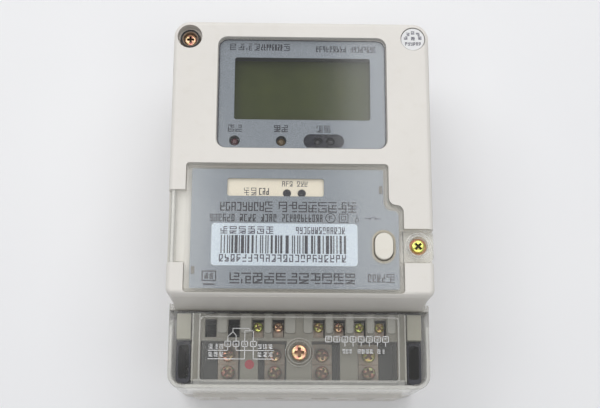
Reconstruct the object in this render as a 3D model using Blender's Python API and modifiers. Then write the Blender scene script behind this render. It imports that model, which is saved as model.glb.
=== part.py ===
"""Single-phase prepaid electricity meter, lying on its back.

Frame: metres, +Z out of the front face, +Y towards the display end, -Y towards the terminals,
+X to the right of a reader. The origin is the centre of the rear face, on the surface it lies on.
Every size below is in millimetres times MM, worked out from the meter's standard 112 x 160 x 71 body.
"""

import math

import bmesh
import bpy
from mathutils import Matrix, Vector

MM = 0.001

# ---------------------------------------------------------------- driving dimensions (mm)
HALF_WIDTH = 56.0
TOP_Y = 80.0
BOTTOM_Y = -80.0
FACE_Z = 71.0
PARTING_Z = 28.0
GAP = 0.3
WALL = 2.4
CORNER_R = 7.0

# front cover
COVER_LOW_Y = -42.0
COVER_EDGE_R = 2.2
SLOPE_HALF_WIDTH = 53.4
SLOPE_FOOT_Y = -44.8
FLOOR_UNDER_DOOR_Z = 63.8
DOOR_RECESS_Z = 66.0
POST_X, POST_Y, POST_R = 49.0, 72.5, 6.9
POCKET_R, POCKET_Z = 5.45, 66.3
CUP_Z = 68.0
SEAT_R, SEAT_Z = 4.6, 64.6

# display
WINDOW = (0.3, 47.2, 73.2, 50.4)
WINDOW_Z = (68.5, 70.2)
LED_Y = 25.7
PULSE_X, TRIP_X = -28.7, -8.6
IR_X = (7.3, 12.6)

# door (flip cover) and its hinge
DOOR_LEFT, DOOR_RIGHT_HIGH, DOOR_RIGHT_LOW = -48.5, 36.9, 43.1
DOOR_TOP, DOOR_STEP_Y, DOOR_BOTTOM = 14.6, -3.3, -40.4
DOOR_Z = (69.2, 70.8)
DOOR_RIM_Z, DOOR_RIM = 66.8, 1.3
TAB_RIGHT, TAB_Y = 55.7, (-27.5, -13.6)
HINGE_X, HINGE_Z, KNUCKLE_R = -53.9, 69.2, 1.65
HINGE_Y = (-27.9, 2.7)
PIN_R = 0.95
SEAL_SCREW = (49.5, -20.4)
BUTTON = (35.0, -20.6)
BUTTON_SIZE = (7.8, 11.6)
BUTTON_HOLE = (9.6, 13.6)

# terminals
TERMINAL_COVER_Z = (20.0, 51.0)
TERMINAL_COVER_Y = (-78.6, -45.2)
BLOCK_Z = (2.8, 44.0)
BLOCK_Y = (-76.2, -45.4)
BLOCK_HALF_WIDTH = 53.0
MAIN_X = (-31.2, -10.5, 10.5, 31.2)
BAYS = ((-42.0, -25.5), (-17.5, -5.5), (5.5, 17.5), (25.5, 42.0))
MAIN_SCREW_Y = (-62.5, -70.0)
WIRE_Z, WIRE_R = 13.5, 3.9
CLAMP_Y, CLAMP_Z = (-74.4, -57.2), (6.0, 30.0)
AUX_X = (-17.8, -9.0, 8.6, 17.4, 26.4, 35.3)
SPARE_X = (-38.2, -28.2)
AUX_Y = (-56.2, -48.6)
COVER_SCREW = (0.0, -63.2)
SIDE_BAY_X, SIDE_BAY_Y = (46.6, 52.2), (-75.0, -58.6)
LUG_HOLE = (49.4, -67.0, 2.6)

# inside
BOARD_Z = (52.0, 53.6)
UNDER_BOARD_Z = BOARD_Z[0] - GAP
ON_BOARD_Z = BOARD_Z[1] + GAP
BUSBAR_Z = (26.5, 28.0)

parts = bpy.data.collections.new("prepaid_electricity_meter")
cutters = bpy.data.collections.new("cutters")


# ---------------------------------------------------------------- materials
def material(name, rgb, roughness, metallic=0.0, alpha=1.0):
    """A plain Principled material."""
    made = bpy.data.materials.new(name)
    made.use_nodes = True
    shader = made.node_tree.nodes["Principled BSDF"]
    shader.inputs["Base Color"].default_value = (*rgb, 1.0)
    shader.inputs["Roughness"].default_value = roughness
    shader.inputs["Metallic"].default_value = metallic
    shader.inputs["Alpha"].default_value = alpha
    made.diffuse_color = (*rgb, alpha)
    return made


IVORY = material("ivory_plastic", (0.78, 0.76, 0.69), 0.45)
SHROUD_GREY = material("shroud_plastic", (0.66, 0.66, 0.62), 0.5)
BLACK = material("black_plastic", (0.03, 0.03, 0.045), 0.45)
CLEAR = material("clear_plastic", (0.9, 0.92, 0.9), 0.08, alpha=0.25)
PLATE_GREY = material("nameplate", (0.36, 0.40, 0.45), 0.5)
BRASS = material("brass", (0.72, 0.52, 0.28), 0.35, 1.0)
ZINC = material("yellow_zinc", (0.75, 0.62, 0.25), 0.3, 1.0)
STEEL = material("steel", (0.62, 0.62, 0.64), 0.35, 1.0)
COPPER = material("copper", (0.75, 0.42, 0.28), 0.35, 1.0)
BOARD_GREEN = material("circuit_board", (0.04, 0.22, 0.12), 0.5)
LCD_GREEN = material("lcd_glass", (0.20, 0.24, 0.13), 0.2)
WHITE = material("white_plastic", (0.85, 0.85, 0.85), 0.5)
RED_LENS = material("red_lens", (0.35, 0.04, 0.06), 0.15)
YELLOW_LENS = material("yellow_lens", (0.5, 0.35, 0.08), 0.15)
INFRARED_LENS = material("infrared_lens", (0.05, 0.03, 0.07), 0.15)
RELAY_BLUE = material("relay_case", (0.12, 0.20, 0.42), 0.4)
WINDING = material("transformer_tape", (0.75, 0.60, 0.12), 0.5)
SLEEVE = material("battery_sleeve", (0.10, 0.35, 0.20), 0.35)


# ---------------------------------------------------------------- shape helpers (all take mm)
def place(obj, collection, finish=None):
    """Puts obj in one collection only, with its finish."""
    for owner in list(obj.users_collection):
        owner.objects.unlink(obj)
    collection.objects.link(obj)
    if finish is not None:
        obj.data.materials.clear()
        obj.data.materials.append(finish)
    if collection is cutters:
        obj.hide_render = True
        obj.display_type = "WIRE"
    return obj


def fillet(corners, segments=5):
    """The outline through (x, y, radius) corners, with each corner turned into an arc."""
    outline = []
    for i, (x, y, radius) in enumerate(corners):
        here = Vector((x, y))
        back = (Vector(corners[i - 1][:2]) - here).normalized()
        ahead = (Vector(corners[(i + 1) % len(corners)][:2]) - here).normalized()
        if radius <= 0:
            outline.append(here)
            continue
        half = back.angle(ahead) / 2
        start = here + back * (radius / math.tan(half))
        centre = here + (back + ahead).normalized() * (radius / math.sin(half))
        spoke = start - centre
        turn = math.copysign(math.pi - 2 * half, -back.cross(ahead))
        for k in range(segments + 1):
            angle = turn * k / segments
            outline.append(centre + Matrix.Rotation(angle, 2) @ spoke)
    return outline


def rectangle(x0, x1, y0, y1, radius=0.0):
    """Corners of a rectangle, anticlockwise."""
    return [(x0, y0, radius), (x1, y0, radius), (x1, y1, radius), (x0, y1, radius)]


def stadium(centre, size):
    """Corners of an upright slot with round ends."""
    half_w, half_h = size[0] / 2, size[1] / 2
    x, y = centre
    return rectangle(x - half_w, x + half_w, y - half_h, y + half_h, half_w * 0.999)


def prism(name, loops, z0, z1, collection=cutters, finish=None, segments=5):
    """A straight-sided solid on a flat outline. The first loop is its rim, the others are holes."""
    curve = bpy.data.curves.new(name, "CURVE")
    curve.dimensions = "2D"
    curve.fill_mode = "BOTH"
    curve.extrude = (z1 - z0) / 2 * MM
    for corners in loops:
        points = fillet(corners, segments)
        spline = curve.splines.new("POLY")
        spline.points.add(len(points) - 1)
        for point, (x, y) in zip(spline.points, points):
            point.co = (x * MM, y * MM, 0, 1)
        spline.use_cyclic_u = True
    drawn = bpy.data.objects.new(name + "_outline", curve)
    bpy.context.scene.collection.objects.link(drawn)
    bpy.context.view_layer.update()
    graph = bpy.context.evaluated_depsgraph_get()
    mesh = bpy.data.meshes.new_from_object(drawn.evaluated_get(graph))
    bpy.data.objects.remove(drawn)
    weld(mesh)
    obj = bpy.data.objects.new(name, mesh)
    obj.location.z = (z0 + z1) / 2 * MM
    return place(obj, collection, finish)


def weld(mesh):
    """Joins the loose caps of a converted curve to its sides."""
    work = bmesh.new()
    work.from_mesh(mesh)
    bmesh.ops.remove_doubles(work, verts=work.verts, dist=0.00001)
    bmesh.ops.dissolve_limit(work, angle_limit=0.001, verts=work.verts, edges=work.edges)
    bmesh.ops.recalc_face_normals(work, faces=work.faces)
    work.to_mesh(mesh)
    work.free()


def box(name, x, y, z, collection=cutters, finish=None):
    """A box between the two values of each axis."""
    mesh = bpy.data.meshes.new(name)
    work = bmesh.new()
    size = [(high - low) * MM for low, high in (x, y, z)]
    bmesh.ops.create_cube(work, size=1.0, matrix=Matrix.Diagonal((*size, 1.0)))
    work.to_mesh(mesh)
    work.free()
    obj = bpy.data.objects.new(name, mesh)
    obj.location = [(low + high) / 2 * MM for low, high in (x, y, z)]
    return place(obj, collection, finish)


def rod(name, centre, radius, span, axis="Z", collection=cutters, finish=None, sides=24):
    """A round bar: centre holds the two coordinates across its axis, span the two along it."""
    mesh = bpy.data.meshes.new(name)
    work = bmesh.new()
    bmesh.ops.create_cone(
        work,
        cap_ends=True,
        segments=sides,
        radius1=radius * MM,
        radius2=radius * MM,
        depth=(span[1] - span[0]) * MM,
    )
    work.to_mesh(mesh)
    work.free()
    obj = bpy.data.objects.new(name, mesh)
    middle = (span[0] + span[1]) / 2
    if axis == "Z":
        spot = (centre[0], centre[1], middle)
    elif axis == "Y":
        spot = (centre[0], middle, centre[1])
        obj.rotation_euler.x = math.pi / 2
    else:
        spot = (middle, centre[0], centre[1])
        obj.rotation_euler.y = math.pi / 2
    obj.location = [value * MM for value in spot]
    return place(obj, collection, finish)


def turned(name, centre, profile, finish, sides=16):
    """A turned piece on an upright axis.

    The profile of (radius, z) runs from its top to its foot, or round in a ring that ends where it starts.
    """
    ring = profile[0] == profile[-1]
    points = profile[:-1] if ring else profile
    edges = [(i, i + 1) for i in range(len(points) - 1)]
    if ring:
        edges.append((len(points) - 1, 0))
    mesh = bpy.data.meshes.new(name)
    mesh.from_pydata([(radius * MM, 0, z * MM) for radius, z in points], edges, [])
    obj = bpy.data.objects.new(name, mesh)
    obj.location = (centre[0] * MM, centre[1] * MM, 0)
    spin = obj.modifiers.new("turn", "SCREW")
    spin.axis = "Z"
    spin.steps = spin.render_steps = sides
    spin.use_merge_vertices = True
    spin.merge_threshold = 0.00001
    return place(obj, parts, finish)


def boolean(obj, operation, others):
    """One Boolean modifier for each of the other solids, which become hidden helpers."""
    for other in others:
        place(other, cutters)
        step = obj.modifiers.new(operation.lower() + "_" + other.name, "BOOLEAN")
        step.operation = operation
        step.object = other
    return obj


def cut(obj, *others):
    return boolean(obj, "DIFFERENCE", others)


def join(obj, *others):
    return boolean(obj, "UNION", others)


def bevel_rim(obj, width, z, segments=3):
    """Rounds the outer edges that lie at height z."""
    work = bmesh.new()
    work.from_mesh(obj.data)
    local = z * MM - obj.location.z
    rim = [
        e
        for e in work.edges
        if all(abs(v.co.z - local) < 0.00001 for v in e.verts)
        and any(abs(face.normal.z) < 0.5 for face in e.link_faces)
    ]
    bmesh.ops.bevel(
        work, geom=rim, offset=width * MM, segments=segments, profile=0.5, affect="EDGES"
    )
    work.to_mesh(obj.data)
    work.free()
    return obj


def screw(name, centre, head_r, shank_r, z_top, z_seat, z_tip, finish=ZINC, sides=16):
    """A pan-head machine screw, standing upright."""
    lip = (z_top - z_seat) * 0.35
    tip = shank_r * 0.5
    profile = [
        (0.0, z_top),
        (head_r * 0.72, z_top - lip * 0.25),
        (head_r, z_top - lip),
        (head_r, z_seat),
        (shank_r, z_seat),
        (shank_r, z_tip + tip),
        (shank_r - tip, z_tip),
        (0.0, z_tip),
    ]
    return turned(name, centre, profile, finish, sides)


# ---------------------------------------------------------------- casings
def build_rear_base():
    """The tray that goes against the wall, with its posts, hook slot and cable skirt."""
    side = HALF_WIDTH - 0.4
    low = -78.4
    rim = [(-side, low, 6), (side, low, 6), (side, TOP_Y - 0.4, CORNER_R), (-side, TOP_Y - 0.4, CORNER_R)]
    base = prism("rear_base", [rim], 0, PARTING_Z - GAP, parts, IVORY)
    skirt = box("base_skirt", (-47, 47), (BOTTOM_Y, low + 3), (0, 19.7))
    taper(skirt, 2.0)
    join(base, skirt)
    inner = side - 2.2
    hollow = rectangle(-inner, inner, -76.5, TOP_Y - 2.6, 4.8)
    cut(
        base,
        prism("base_hollow", [hollow], 2.5, 40),
        box("base_step", (-70, 70), (-90, COVER_LOW_Y - 0.2), (19.7, 40)),
    )
    pad = box("base_hook_pad", (-12, 12), (50, TOP_Y - 1), (2.0, 4.8))
    posts = [rod(f"base_post_{k}", (s * POST_X, POST_Y), 5.0, (2.0, PARTING_Z - GAP)) for k, s in enumerate((-1, 1))]
    studs = [
        rod(f"base_stud_{k}", (sx * 46.0, y), 3.0, (2.0, UNDER_BOARD_Z), sides=16)
        for k, (sx, y) in enumerate(((-1, 58), (1, 58), (-1, -34), (1, -34)))
    ]
    join(base, pad, *posts, *studs)
    bores = [rod(f"base_bore_{k}", (s * POST_X, POST_Y), 1.75, (9, 40), sides=16) for k, s in enumerate((-1, 1))]
    lugs = [rod(f"base_lug_{k}", (s * LUG_HOLE[0], LUG_HOLE[1]), LUG_HOLE[2], (-5, 6)) for k, s in enumerate((-1, 1))]
    wires = [
        rod(f"base_wire_{k}", (x, WIRE_Z), WIRE_R + 0.5, (-90, -74), axis="Y", sides=20)
        for k, x in enumerate(MAIN_X)
    ]
    slots = [
        box(f"base_notch_{k}", (x - w, x + w), (-90, -78.2), (6.5, 11.0))
        for k, (x, w) in enumerate(((-41.5, 1.4), (-20.9, 3.0), (0, 3.4), (20.9, 3.0), (41.5, 1.4)))
    ]
    cut(
        base,
        box("hook_mouth", (-6.5, 6.5), (52, 90), (-3, 0.9)),
        box("hook_slot", (-8.3, 8.3), (52, 90), (0.7, 2.7)),
        *bores,
        *lugs,
        *wires,
        *slots,
    )


def taper(obj, amount):
    """Draws the rear corners of the skirt in, so that its ends slope."""
    for vertex in obj.data.vertices:
        if vertex.co.z < 0:
            vertex.co.x -= math.copysign(amount * MM, vertex.co.x)


def build_front_cover():
    """The ivory cover: a deep shell with the display pocket and the recess for the door."""
    rim = [
        (-HALF_WIDTH, COVER_LOW_Y, 3),
        (HALF_WIDTH, COVER_LOW_Y, 3),
        (HALF_WIDTH, TOP_Y, CORNER_R),
        (-HALF_WIDTH, TOP_Y, CORNER_R),
    ]
    cover = prism("front_cover", [rim], PARTING_Z, FACE_Z, parts, IVORY, segments=6)
    bevel_rim(cover, COVER_EDGE_R, FACE_Z)
    join(cover, sloped_wall())
    inner = HALF_WIDTH - WALL
    hollow = rectangle(-inner, inner, COVER_LOW_Y + WALL, TOP_Y - WALL, 3)
    cut(
        cover,
        prism("cover_hollow", [hollow], 20, FACE_Z - 2.2),
        box("slope_hollow", (-51, 51), (SLOPE_FOOT_Y + WALL, -38), (20, 62)),
    )
    x, y, width, height = WINDOW
    join(
        cover,
        box("window_frame", (x - width / 2 - 2.2, x + width / 2 + 2.2), (18.6, y + height / 2 + 2.2), (66, 70)),
        box("door_floor", (-54.5, 54.5), (-41, 18.8), (FLOOR_UNDER_DOOR_Z, 70)),
        box("seal_boss", (42, 54.5), (-30, -11), (58, 70)),
        *[
            rod(f"cover_post_{k}", (s * POST_X, POST_Y), POST_R, (PARTING_Z, 70), sides=28)
            for k, s in enumerate((-1, 1))
        ],
    )
    cut(cover, *display_cuts(), *door_cuts(), *post_cuts())


def sloped_wall():
    """The wall below the door, which leans out to meet the terminal cover."""
    wall = box("sloped_wall", (-SLOPE_HALF_WIDTH, SLOPE_HALF_WIDTH), (SLOPE_FOOT_Y, -39), (PARTING_Z, 68.6))
    work = bmesh.new()
    work.from_mesh(wall.data)
    foot = (50.0 * MM) - wall.location.z
    bmesh.ops.bisect_plane(work, geom=work.verts[:] + work.edges[:] + work.faces[:], plane_co=(0, 0, foot), plane_no=(0, 0, 1))
    top = max(v.co.z for v in work.verts)
    front = min(v.co.y for v in work.verts)
    for vertex in work.verts:
        if vertex.co.z > top - 0.0001 and vertex.co.y < front + 0.0001:
            vertex.co.y += 2.6 * MM
    work.to_mesh(wall.data)
    work.free()
    return wall


def display_cuts():
    """The pocket that the window drops into, and the opening behind it."""
    x, y, width, height = WINDOW
    pocket = rectangle(x - width / 2 - GAP, x + width / 2 + GAP, y - height / 2 - GAP, y + height / 2 + GAP, 4.2)
    opening = rectangle(x - 34.2, x + 34.2, y - 24.4, y + 24.2, 2)
    return [
        prism("window_pocket", [pocket], WINDOW_Z[0] - GAP, 80),
        prism("window_opening", [opening], 60, 69),
    ]


def door_outline(grow=0.0):
    """Corners of the door, without its hinge and seal tabs, grown outwards by grow."""
    right, far = DOOR_RIGHT_HIGH + grow, DOOR_RIGHT_LOW + grow
    step = DOOR_STEP_Y + grow
    return [
        (DOOR_LEFT - grow, DOOR_BOTTOM - grow, 1.5),
        (far, DOOR_BOTTOM - grow, 1.5),
        (far, step, 3.0),
        (right, step, 3.1),
        (right, DOOR_TOP + grow, 1.5),
        (DOOR_LEFT - grow, DOOR_TOP + grow, 1.5),
    ]


def door_cuts():
    """Everything that the door, its hinge, its seal tab, the module and the button need."""
    return [
        prism("door_recess", [door_outline(0.4)], DOOR_RECESS_Z, 80),
        box("hinge_notch", (-70, -48), (HINGE_Y[0] - 0.4, HINGE_Y[1] + 0.4), (66.4, 80)),
        rod("pin_bore", (HINGE_X, HINGE_Z), 1.0, (HINGE_Y[0] - 3, HINGE_Y[1] + 3), axis="Y", sides=16),
        prism("seal_notch", [rectangle(40, 70, TAB_Y[0] - 0.4, TAB_Y[1] + 0.4)], 64.2, 80),
        rod("seal_bore", SEAL_SCREW, 2.1, (50, 66), sides=16),
        prism("module_opening", [rectangle(-39.3, 15.3, -36.8, 12.3, 1)], 50, 80),
        prism("button_opening", [stadium(BUTTON, (8.6, 12.4))], 50, 80),
    ]


def post_cuts():
    """The stepped bores of the two case screws."""
    found = []
    for side in (-1, 1):
        spot = (side * POST_X, POST_Y)
        found.append(rod(f"pocket_{side}", spot, POCKET_R, (POCKET_Z, 80), sides=28))
        found.append(rod(f"seat_{side}", spot, SEAT_R, (SEAT_Z, 67), sides=24))
        found.append(rod(f"clearance_{side}", spot, 1.8, (20, SEAT_Z + 1), sides=16))
    return found


def build_display_window():
    """The clear window that lies in the cover's pocket."""
    x, y, width, height = WINDOW
    pane = rectangle(x - width / 2, x + width / 2, y - height / 2, y + height / 2, 4.0)
    prism("display_window", [pane], *WINDOW_Z, parts, CLEAR)


def build_seals():
    """The cup round the left case screw and the plug that hides the right one."""
    for name, side in (("case_screw_left", -1), ("case_screw_right", 1)):
        screw(name, (side * POST_X, POST_Y), 2.6, 1.4, SEAT_Z + 2.6, SEAT_Z + GAP, 12)
    inner, outer = 3.1, 4.3
    cup = [(inner, CUP_Z), (outer, CUP_Z), (outer, SEAT_Z + GAP), (inner, SEAT_Z + GAP), (inner, CUP_Z)]
    turned("seal_cup", (-POST_X, POST_Y), cup, BLACK, 24)
    plug = [(0, 70.6), (5.0, 70.6), (5.2, 70.4), (5.2, 66.6), (3.4, 66.6), (3.4, 67.9), (0, 67.9)]
    turned("seal_plug", (POST_X, POST_Y), plug, WHITE, 24)


# ---------------------------------------------------------------- door
def build_flip_cover():
    """The clear door over the nameplate, with its knuckle on the left and seal tab on the right."""
    door = prism("flip_cover", [door_outline()], DOOR_RIM_Z, DOOR_Z[1], parts, CLEAR)
    step, rim = DOOR_STEP_Y - DOOR_RIM, DOOR_RIM
    under = [
        (-60, DOOR_BOTTOM + rim, 0),
        (DOOR_RIGHT_LOW - rim, DOOR_BOTTOM + rim, 0),
        (DOOR_RIGHT_LOW - rim, step, 2.0),
        (DOOR_RIGHT_HIGH - rim, step, 3.6),
        (DOOR_RIGHT_HIGH - rim, DOOR_TOP - rim, 0),
        (-60, DOOR_TOP - rim, 0),
    ]
    cut(door, prism("door_under", [under], 60, DOOR_Z[0]))
    tab = rectangle(DOOR_RIGHT_LOW - rim, TAB_RIGHT, *TAB_Y, 2.5)
    join(
        door,
        prism("seal_tab", [tab], 64.6, DOOR_Z[1] - 0.1),
        box("hinge_tab", (HINGE_X, DOOR_LEFT + 1), HINGE_Y, DOOR_Z),
        rod("knuckle", (HINGE_X, HINGE_Z), KNUCKLE_R, HINGE_Y, axis="Y", sides=20),
    )
    cut(
        door,
        rod("knuckle_bore", (HINGE_X, HINGE_Z), 1.0, (-40, 10), axis="Y", sides=16),
        rod("seal_counterbore", SEAL_SCREW, 3.85, (67.3, 80)),
        rod("seal_hole", SEAL_SCREW, 1.8, (60, 80), sides=16),
        prism("door_button_hole", [stadium(BUTTON, BUTTON_HOLE)], 60, 80),
    )
    rod("hinge_pin", (HINGE_X, HINGE_Z), PIN_R, (HINGE_Y[0] - 2.6, HINGE_Y[1] + 2.6), "Y", parts, STEEL, 16)
    screw("flip_cover_screw", SEAL_SCREW, 2.65, 1.4, 69.6, 67.6, 59.5)


def build_nameplate():
    """The printed plate that the door carries, with a window over the module."""
    plate = [
        (-46.4, -38.8, 0.5),
        (41.5, -38.8, 0.5),
        (41.5, -4.9, 2.5),
        (35.2, -4.9, 3.4),
        (35.2, 12.9, 0.5),
        (-46.4, 12.9, 0.5),
    ]
    window = rectangle(-31.3, 9.8, 1.0, 8.8, 1.0)
    prism("nameplate", [plate, window, stadium(BUTTON, BUTTON_HOLE)], 68.2, 68.8, parts, PLATE_GREY)


def build_page_button():
    """The oval key, its return spring and the switch that it presses."""
    button = prism("page_button", [stadium(BUTTON, BUTTON_SIZE)], 62.0, FACE_Z, parts, IVORY)
    bevel_rim(button, 0.5, FACE_Z, 2)
    join(
        button,
        prism("button_flange", [stadium(BUTTON, (10.2, 14.0))], 62.4, FLOOR_UNDER_DOOR_Z - GAP),
        rod("button_stub", BUTTON, 1.5, (61.0, 62.5), sides=16),
    )
    x, y = BUTTON
    switch = box("tact_switch", (x - 3, x + 3), (y - 3, y + 3), (ON_BOARD_Z, 57.4), parts, BLACK)
    join(switch, rod("switch_stem", BUTTON, 1.75, (57, 59.8), sides=16))
    coil("button_spring", BUTTON, 2.7, 0.22, 58.02, 61.6, 4)


def coil(name, centre, radius, wire, z0, z1, turns):
    """An upright coil spring of round wire."""
    around, steps = 6, turns * 12
    points, faces = [], []
    for k in range(steps + 1):
        angle = 2 * math.pi * turns * k / steps
        out = Vector((math.cos(angle), math.sin(angle), 0))
        middle = Vector((centre[0], centre[1], z0 + (z1 - z0) * k / steps)) + out * radius
        for i in range(around):
            turn = 2 * math.pi * i / around
            points.append((middle + (out * math.cos(turn) + Vector((0, 0, math.sin(turn)))) * wire) * MM)
        if k:
            here, back = k * around, (k - 1) * around
            for i in range(around):
                ahead = (i + 1) % around
                faces.append((back + i, here + i, here + ahead, back + ahead))
    faces.append(tuple(range(around)))
    faces.append(tuple(reversed(range(steps * around, (steps + 1) * around))))
    mesh = bpy.data.meshes.new(name)
    mesh.from_pydata(points, [], faces)
    work = bmesh.new()
    work.from_mesh(mesh)
    bmesh.ops.recalc_face_normals(work, faces=work.faces)
    work.to_mesh(mesh)
    work.free()
    return place(bpy.data.objects.new(name, mesh), parts, STEEL)


# ---------------------------------------------------------------- terminals
def build_terminal_cover():
    """The clear box over the terminals, held by one captive screw."""
    low, high = TERMINAL_COVER_Y
    z0, z1 = TERMINAL_COVER_Z
    rim = [(-HALF_WIDTH, low, 6), (HALF_WIDTH, low, 6), (HALF_WIDTH, high, 0), (-HALF_WIDTH, high, 0)]
    cover = prism("terminal_cover", [rim], z0, z1, parts, CLEAR, segments=6)
    bevel_rim(cover, 0.8, z1, 2)
    inner = HALF_WIDTH - 1.8
    hollow = [(-inner, low + 1.8, 4.4), (inner, low + 1.8, 4.4), (inner, high + 4, 0), (-inner, high + 4, 0)]
    cut(cover, prism("terminal_hollow", [hollow], z0 - 2, z1 - 1.8))
    x, y = COVER_SCREW
    join(
        cover,
        bevel_rim(prism("terminal_panel", [rectangle(-42.5, 42.5, -76.2, -48.3, 2)], z1 - 1.8, z1 + 0.9), 0.5, z1 + 0.9, 1),
        rod("screw_boss", (x, y), 5.8, (47.3, z1 + 1.3), sides=28),
        *[
            box(f"ear_{s}", tuple(sorted((s * (HALF_WIDTH - 0.05), s * inner))), (high - 1, -42.5), (z0 + GAP, z1 - 0.9))
            for s in (-1, 1)
        ],
    )
    cut(cover, rod("boss_counterbore", (x, y), 4.2, (48.8, 60)), rod("boss_hole", (x, y), 2.3, (40, 60), sides=16))
    screw("terminal_cover_screw", COVER_SCREW, 3.3, 1.9, 51.6, 49.1, 26)


def build_terminal_block():
    """The black moulding that holds the clamps, with a bay for each lower mounting screw."""
    span = (-BLOCK_HALF_WIDTH, BLOCK_HALF_WIDTH)
    rim = [
        (span[0], BLOCK_Y[0], 4.8),
        (span[1], BLOCK_Y[0], 4.8),
        (span[1], BLOCK_Y[1], 0),
        (span[0], BLOCK_Y[1], 0),
    ]
    block = prism("terminal_block", [rim], *BLOCK_Z, parts, BLACK)
    for k, (x, bay) in enumerate(zip(MAIN_X, BAYS)):
        cut(
            block,
            box(f"bay_{k}", bay, (-74.9, -57.8), (30.8, 50)),
            box(f"channel_{k}", (x - 4.9, x + 4.9), (-74.7, -56.9), (5.5, 40)),
            rod(f"block_wire_{k}", (x, WIRE_Z), WIRE_R + 0.3, (-80, -70), axis="Y", sides=20),
            box(f"bar_slot_{k}", (x - 3.5, x + 3.5), (-60, -40), (BUSBAR_Z[0] - 0.4, BUSBAR_Z[1] + 0.4)),
        )
    cells = [box(f"aux_cell_{k}", (x - 2.6, x + 2.6), AUX_Y, (29.5, 50)) for k, x in enumerate(AUX_X + SPARE_X)]
    cut(block, *cells, rod("insert_hole", COVER_SCREW, 2.5, (24.5, 50), sides=16))
    for side in (-1, 1):
        cut(
            block,
            box(f"side_bay_{side}", tuple(sorted(side * v for v in SIDE_BAY_X)), SIDE_BAY_Y, (6, 50)),
            rod(f"lug_{side}", (side * LUG_HOLE[0], LUG_HOLE[1]), LUG_HOLE[2], (0, 8)),
        )


def build_terminal_shroud():
    """The light comb over the block: it parts the auxiliary cells and the main bays."""
    top, low, foot, edge = -46.0, -57.8, -74.9, 53.0
    z0, z1 = BLOCK_Z[1] + GAP, 46.8
    fingers = ((42.4, 46.3), (17.7, 25.3), (-5.4, 5.4), (-25.3, -17.7), (-46.3, -42.4))
    shroud = box("terminal_shroud", (-edge, edge), (low, top), (z0, z1), parts, SHROUD_GREY)
    join(
        shroud,
        *[
            prism(f"finger_{k}", [rectangle(*span, foot, low + 1, 0.6)], z0, z1, segments=2)
            for k, span in enumerate(fingers)
        ],
        *[
            box(f"side_pad_{s}", tuple(sorted((s * 46.6, s * 52.8))), (low + 0.3, top - 0.3), (45.0, 48.2))
            for s in (-1, 1)
        ],
    )
    cells = [box(f"comb_cell_{k}", (x - 2.5, x + 2.5), (-56.4, -48.4), (40, 50)) for k, x in enumerate(AUX_X + SPARE_X)]
    cut(shroud, *cells, rod("shroud_hole", COVER_SCREW, 2.6, (40, 50), sides=16))


def build_clamps():
    """Four main cage clamps with two screws each, and six auxiliary ones with one."""
    for k, x in enumerate(MAIN_X):
        clamp = box(f"main_clamp_{k + 1}", (x - 4.5, x + 4.5), CLAMP_Y, CLAMP_Z, parts, BRASS)
        cut(clamp, rod(f"clamp_bore_{k}", (x, WIRE_Z), WIRE_R, (-80, -50), axis="Y", sides=20))
        for letter, y in zip("ab", MAIN_SCREW_Y):
            cut(clamp, rod(f"clamp_thread_{k}{letter}", (x, y), 2.7, (15, 40), sides=16))
            screw(f"main_screw_{k + 1}{letter}", (x, y), 3.0, 2.35, 33.2, 30.3, 18.8)
    for k, x in enumerate(AUX_X):
        clamp = box(f"aux_clamp_{k + 1}", (x - 2.2, x + 2.2), (-55.8, -48.9), (30.0, 39.4), parts, BRASS)
        cut(
            clamp,
            rod(f"aux_bore_{k}", (x, 33.0), 1.3, (-60, -40), axis="Y", sides=12),
            rod(f"aux_thread_{k}", (x, -51.2), 1.6, (33, 45), sides=12),
        )
        screw(f"aux_screw_{k + 1}", (x, -51.2), 1.9, 1.3, 41.6, 39.7, 35.0, sides=12)


# ---------------------------------------------------------------- inside
def build_board_and_display():
    """The main circuit board with the display, lamps and infrared pair on it."""
    outline = [
        (-50, -38.5, 1),
        (50, -38.5, 1),
        (50, 64.5, 1),
        (41.5, 64.5, 0),
        (41.5, 68, 1),
        (-41.5, 68, 1),
        (-41.5, 64.5, 0),
        (-50, 64.5, 1),
    ]
    prism("main_pcb", [outline], *BOARD_Z, parts, BOARD_GREEN, segments=2)
    box("lcd_backlight", (-33.2, 33.8), (32, 66.4), (ON_BOARD_Z, 60.6), parts, WHITE)
    box("lcd_glass", (-32.2, 32.8), (33, 66), (60.9, 63.2), parts, LCD_GREEN)
    lamps = (
        ("pulse_led", PULSE_X, 2.0, RED_LENS),
        ("trip_led", TRIP_X, 2.0, YELLOW_LENS),
        ("ir_emitter", IR_X[0], 1.5, INFRARED_LENS),
        ("ir_receiver", IR_X[1], 1.5, INFRARED_LENS),
    )
    for name, x, radius, finish in lamps:
        profile = dome(radius, 67.4) + [
            (radius, 62.0),
            (radius + 0.4, 62.0),
            (radius + 0.4, 61.0),
            (1.0, 61.0),
            (1.0, ON_BOARD_Z),
            (0, ON_BOARD_Z),
        ]
        turned(name, (x, LED_Y), profile, finish, 16)


def dome(radius, z_top):
    """Points down the side of a half ball, from its pole to its equator."""
    steps = 4
    found = []
    for k in range(steps + 1):
        angle = math.pi / 2 * k / steps
        found.append((radius * math.sin(angle), z_top - radius + radius * math.cos(angle)))
    return found


def build_module():
    """The plug-in communication module under the door."""
    case = box("module_case", (-38.5, 14.5), (-36, 11.5), (ON_BOARD_Z, 67.6), parts, IVORY)
    cut(
        case,
        box("module_hollow", (-37.3, 13.3), (-34.8, 10.3), (50, 66.4)),
        rod("module_rx", (-5.9, 2.6), 1.8, (60, 70), sides=16),
        rod("module_tx", (0.4, 2.6), 1.8, (60, 70), sides=16),
    )
    box("module_pcb", (-36.9, 12.9), (-34.4, 9.9), (56.0, 57.5), parts, BOARD_GREEN)


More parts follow.
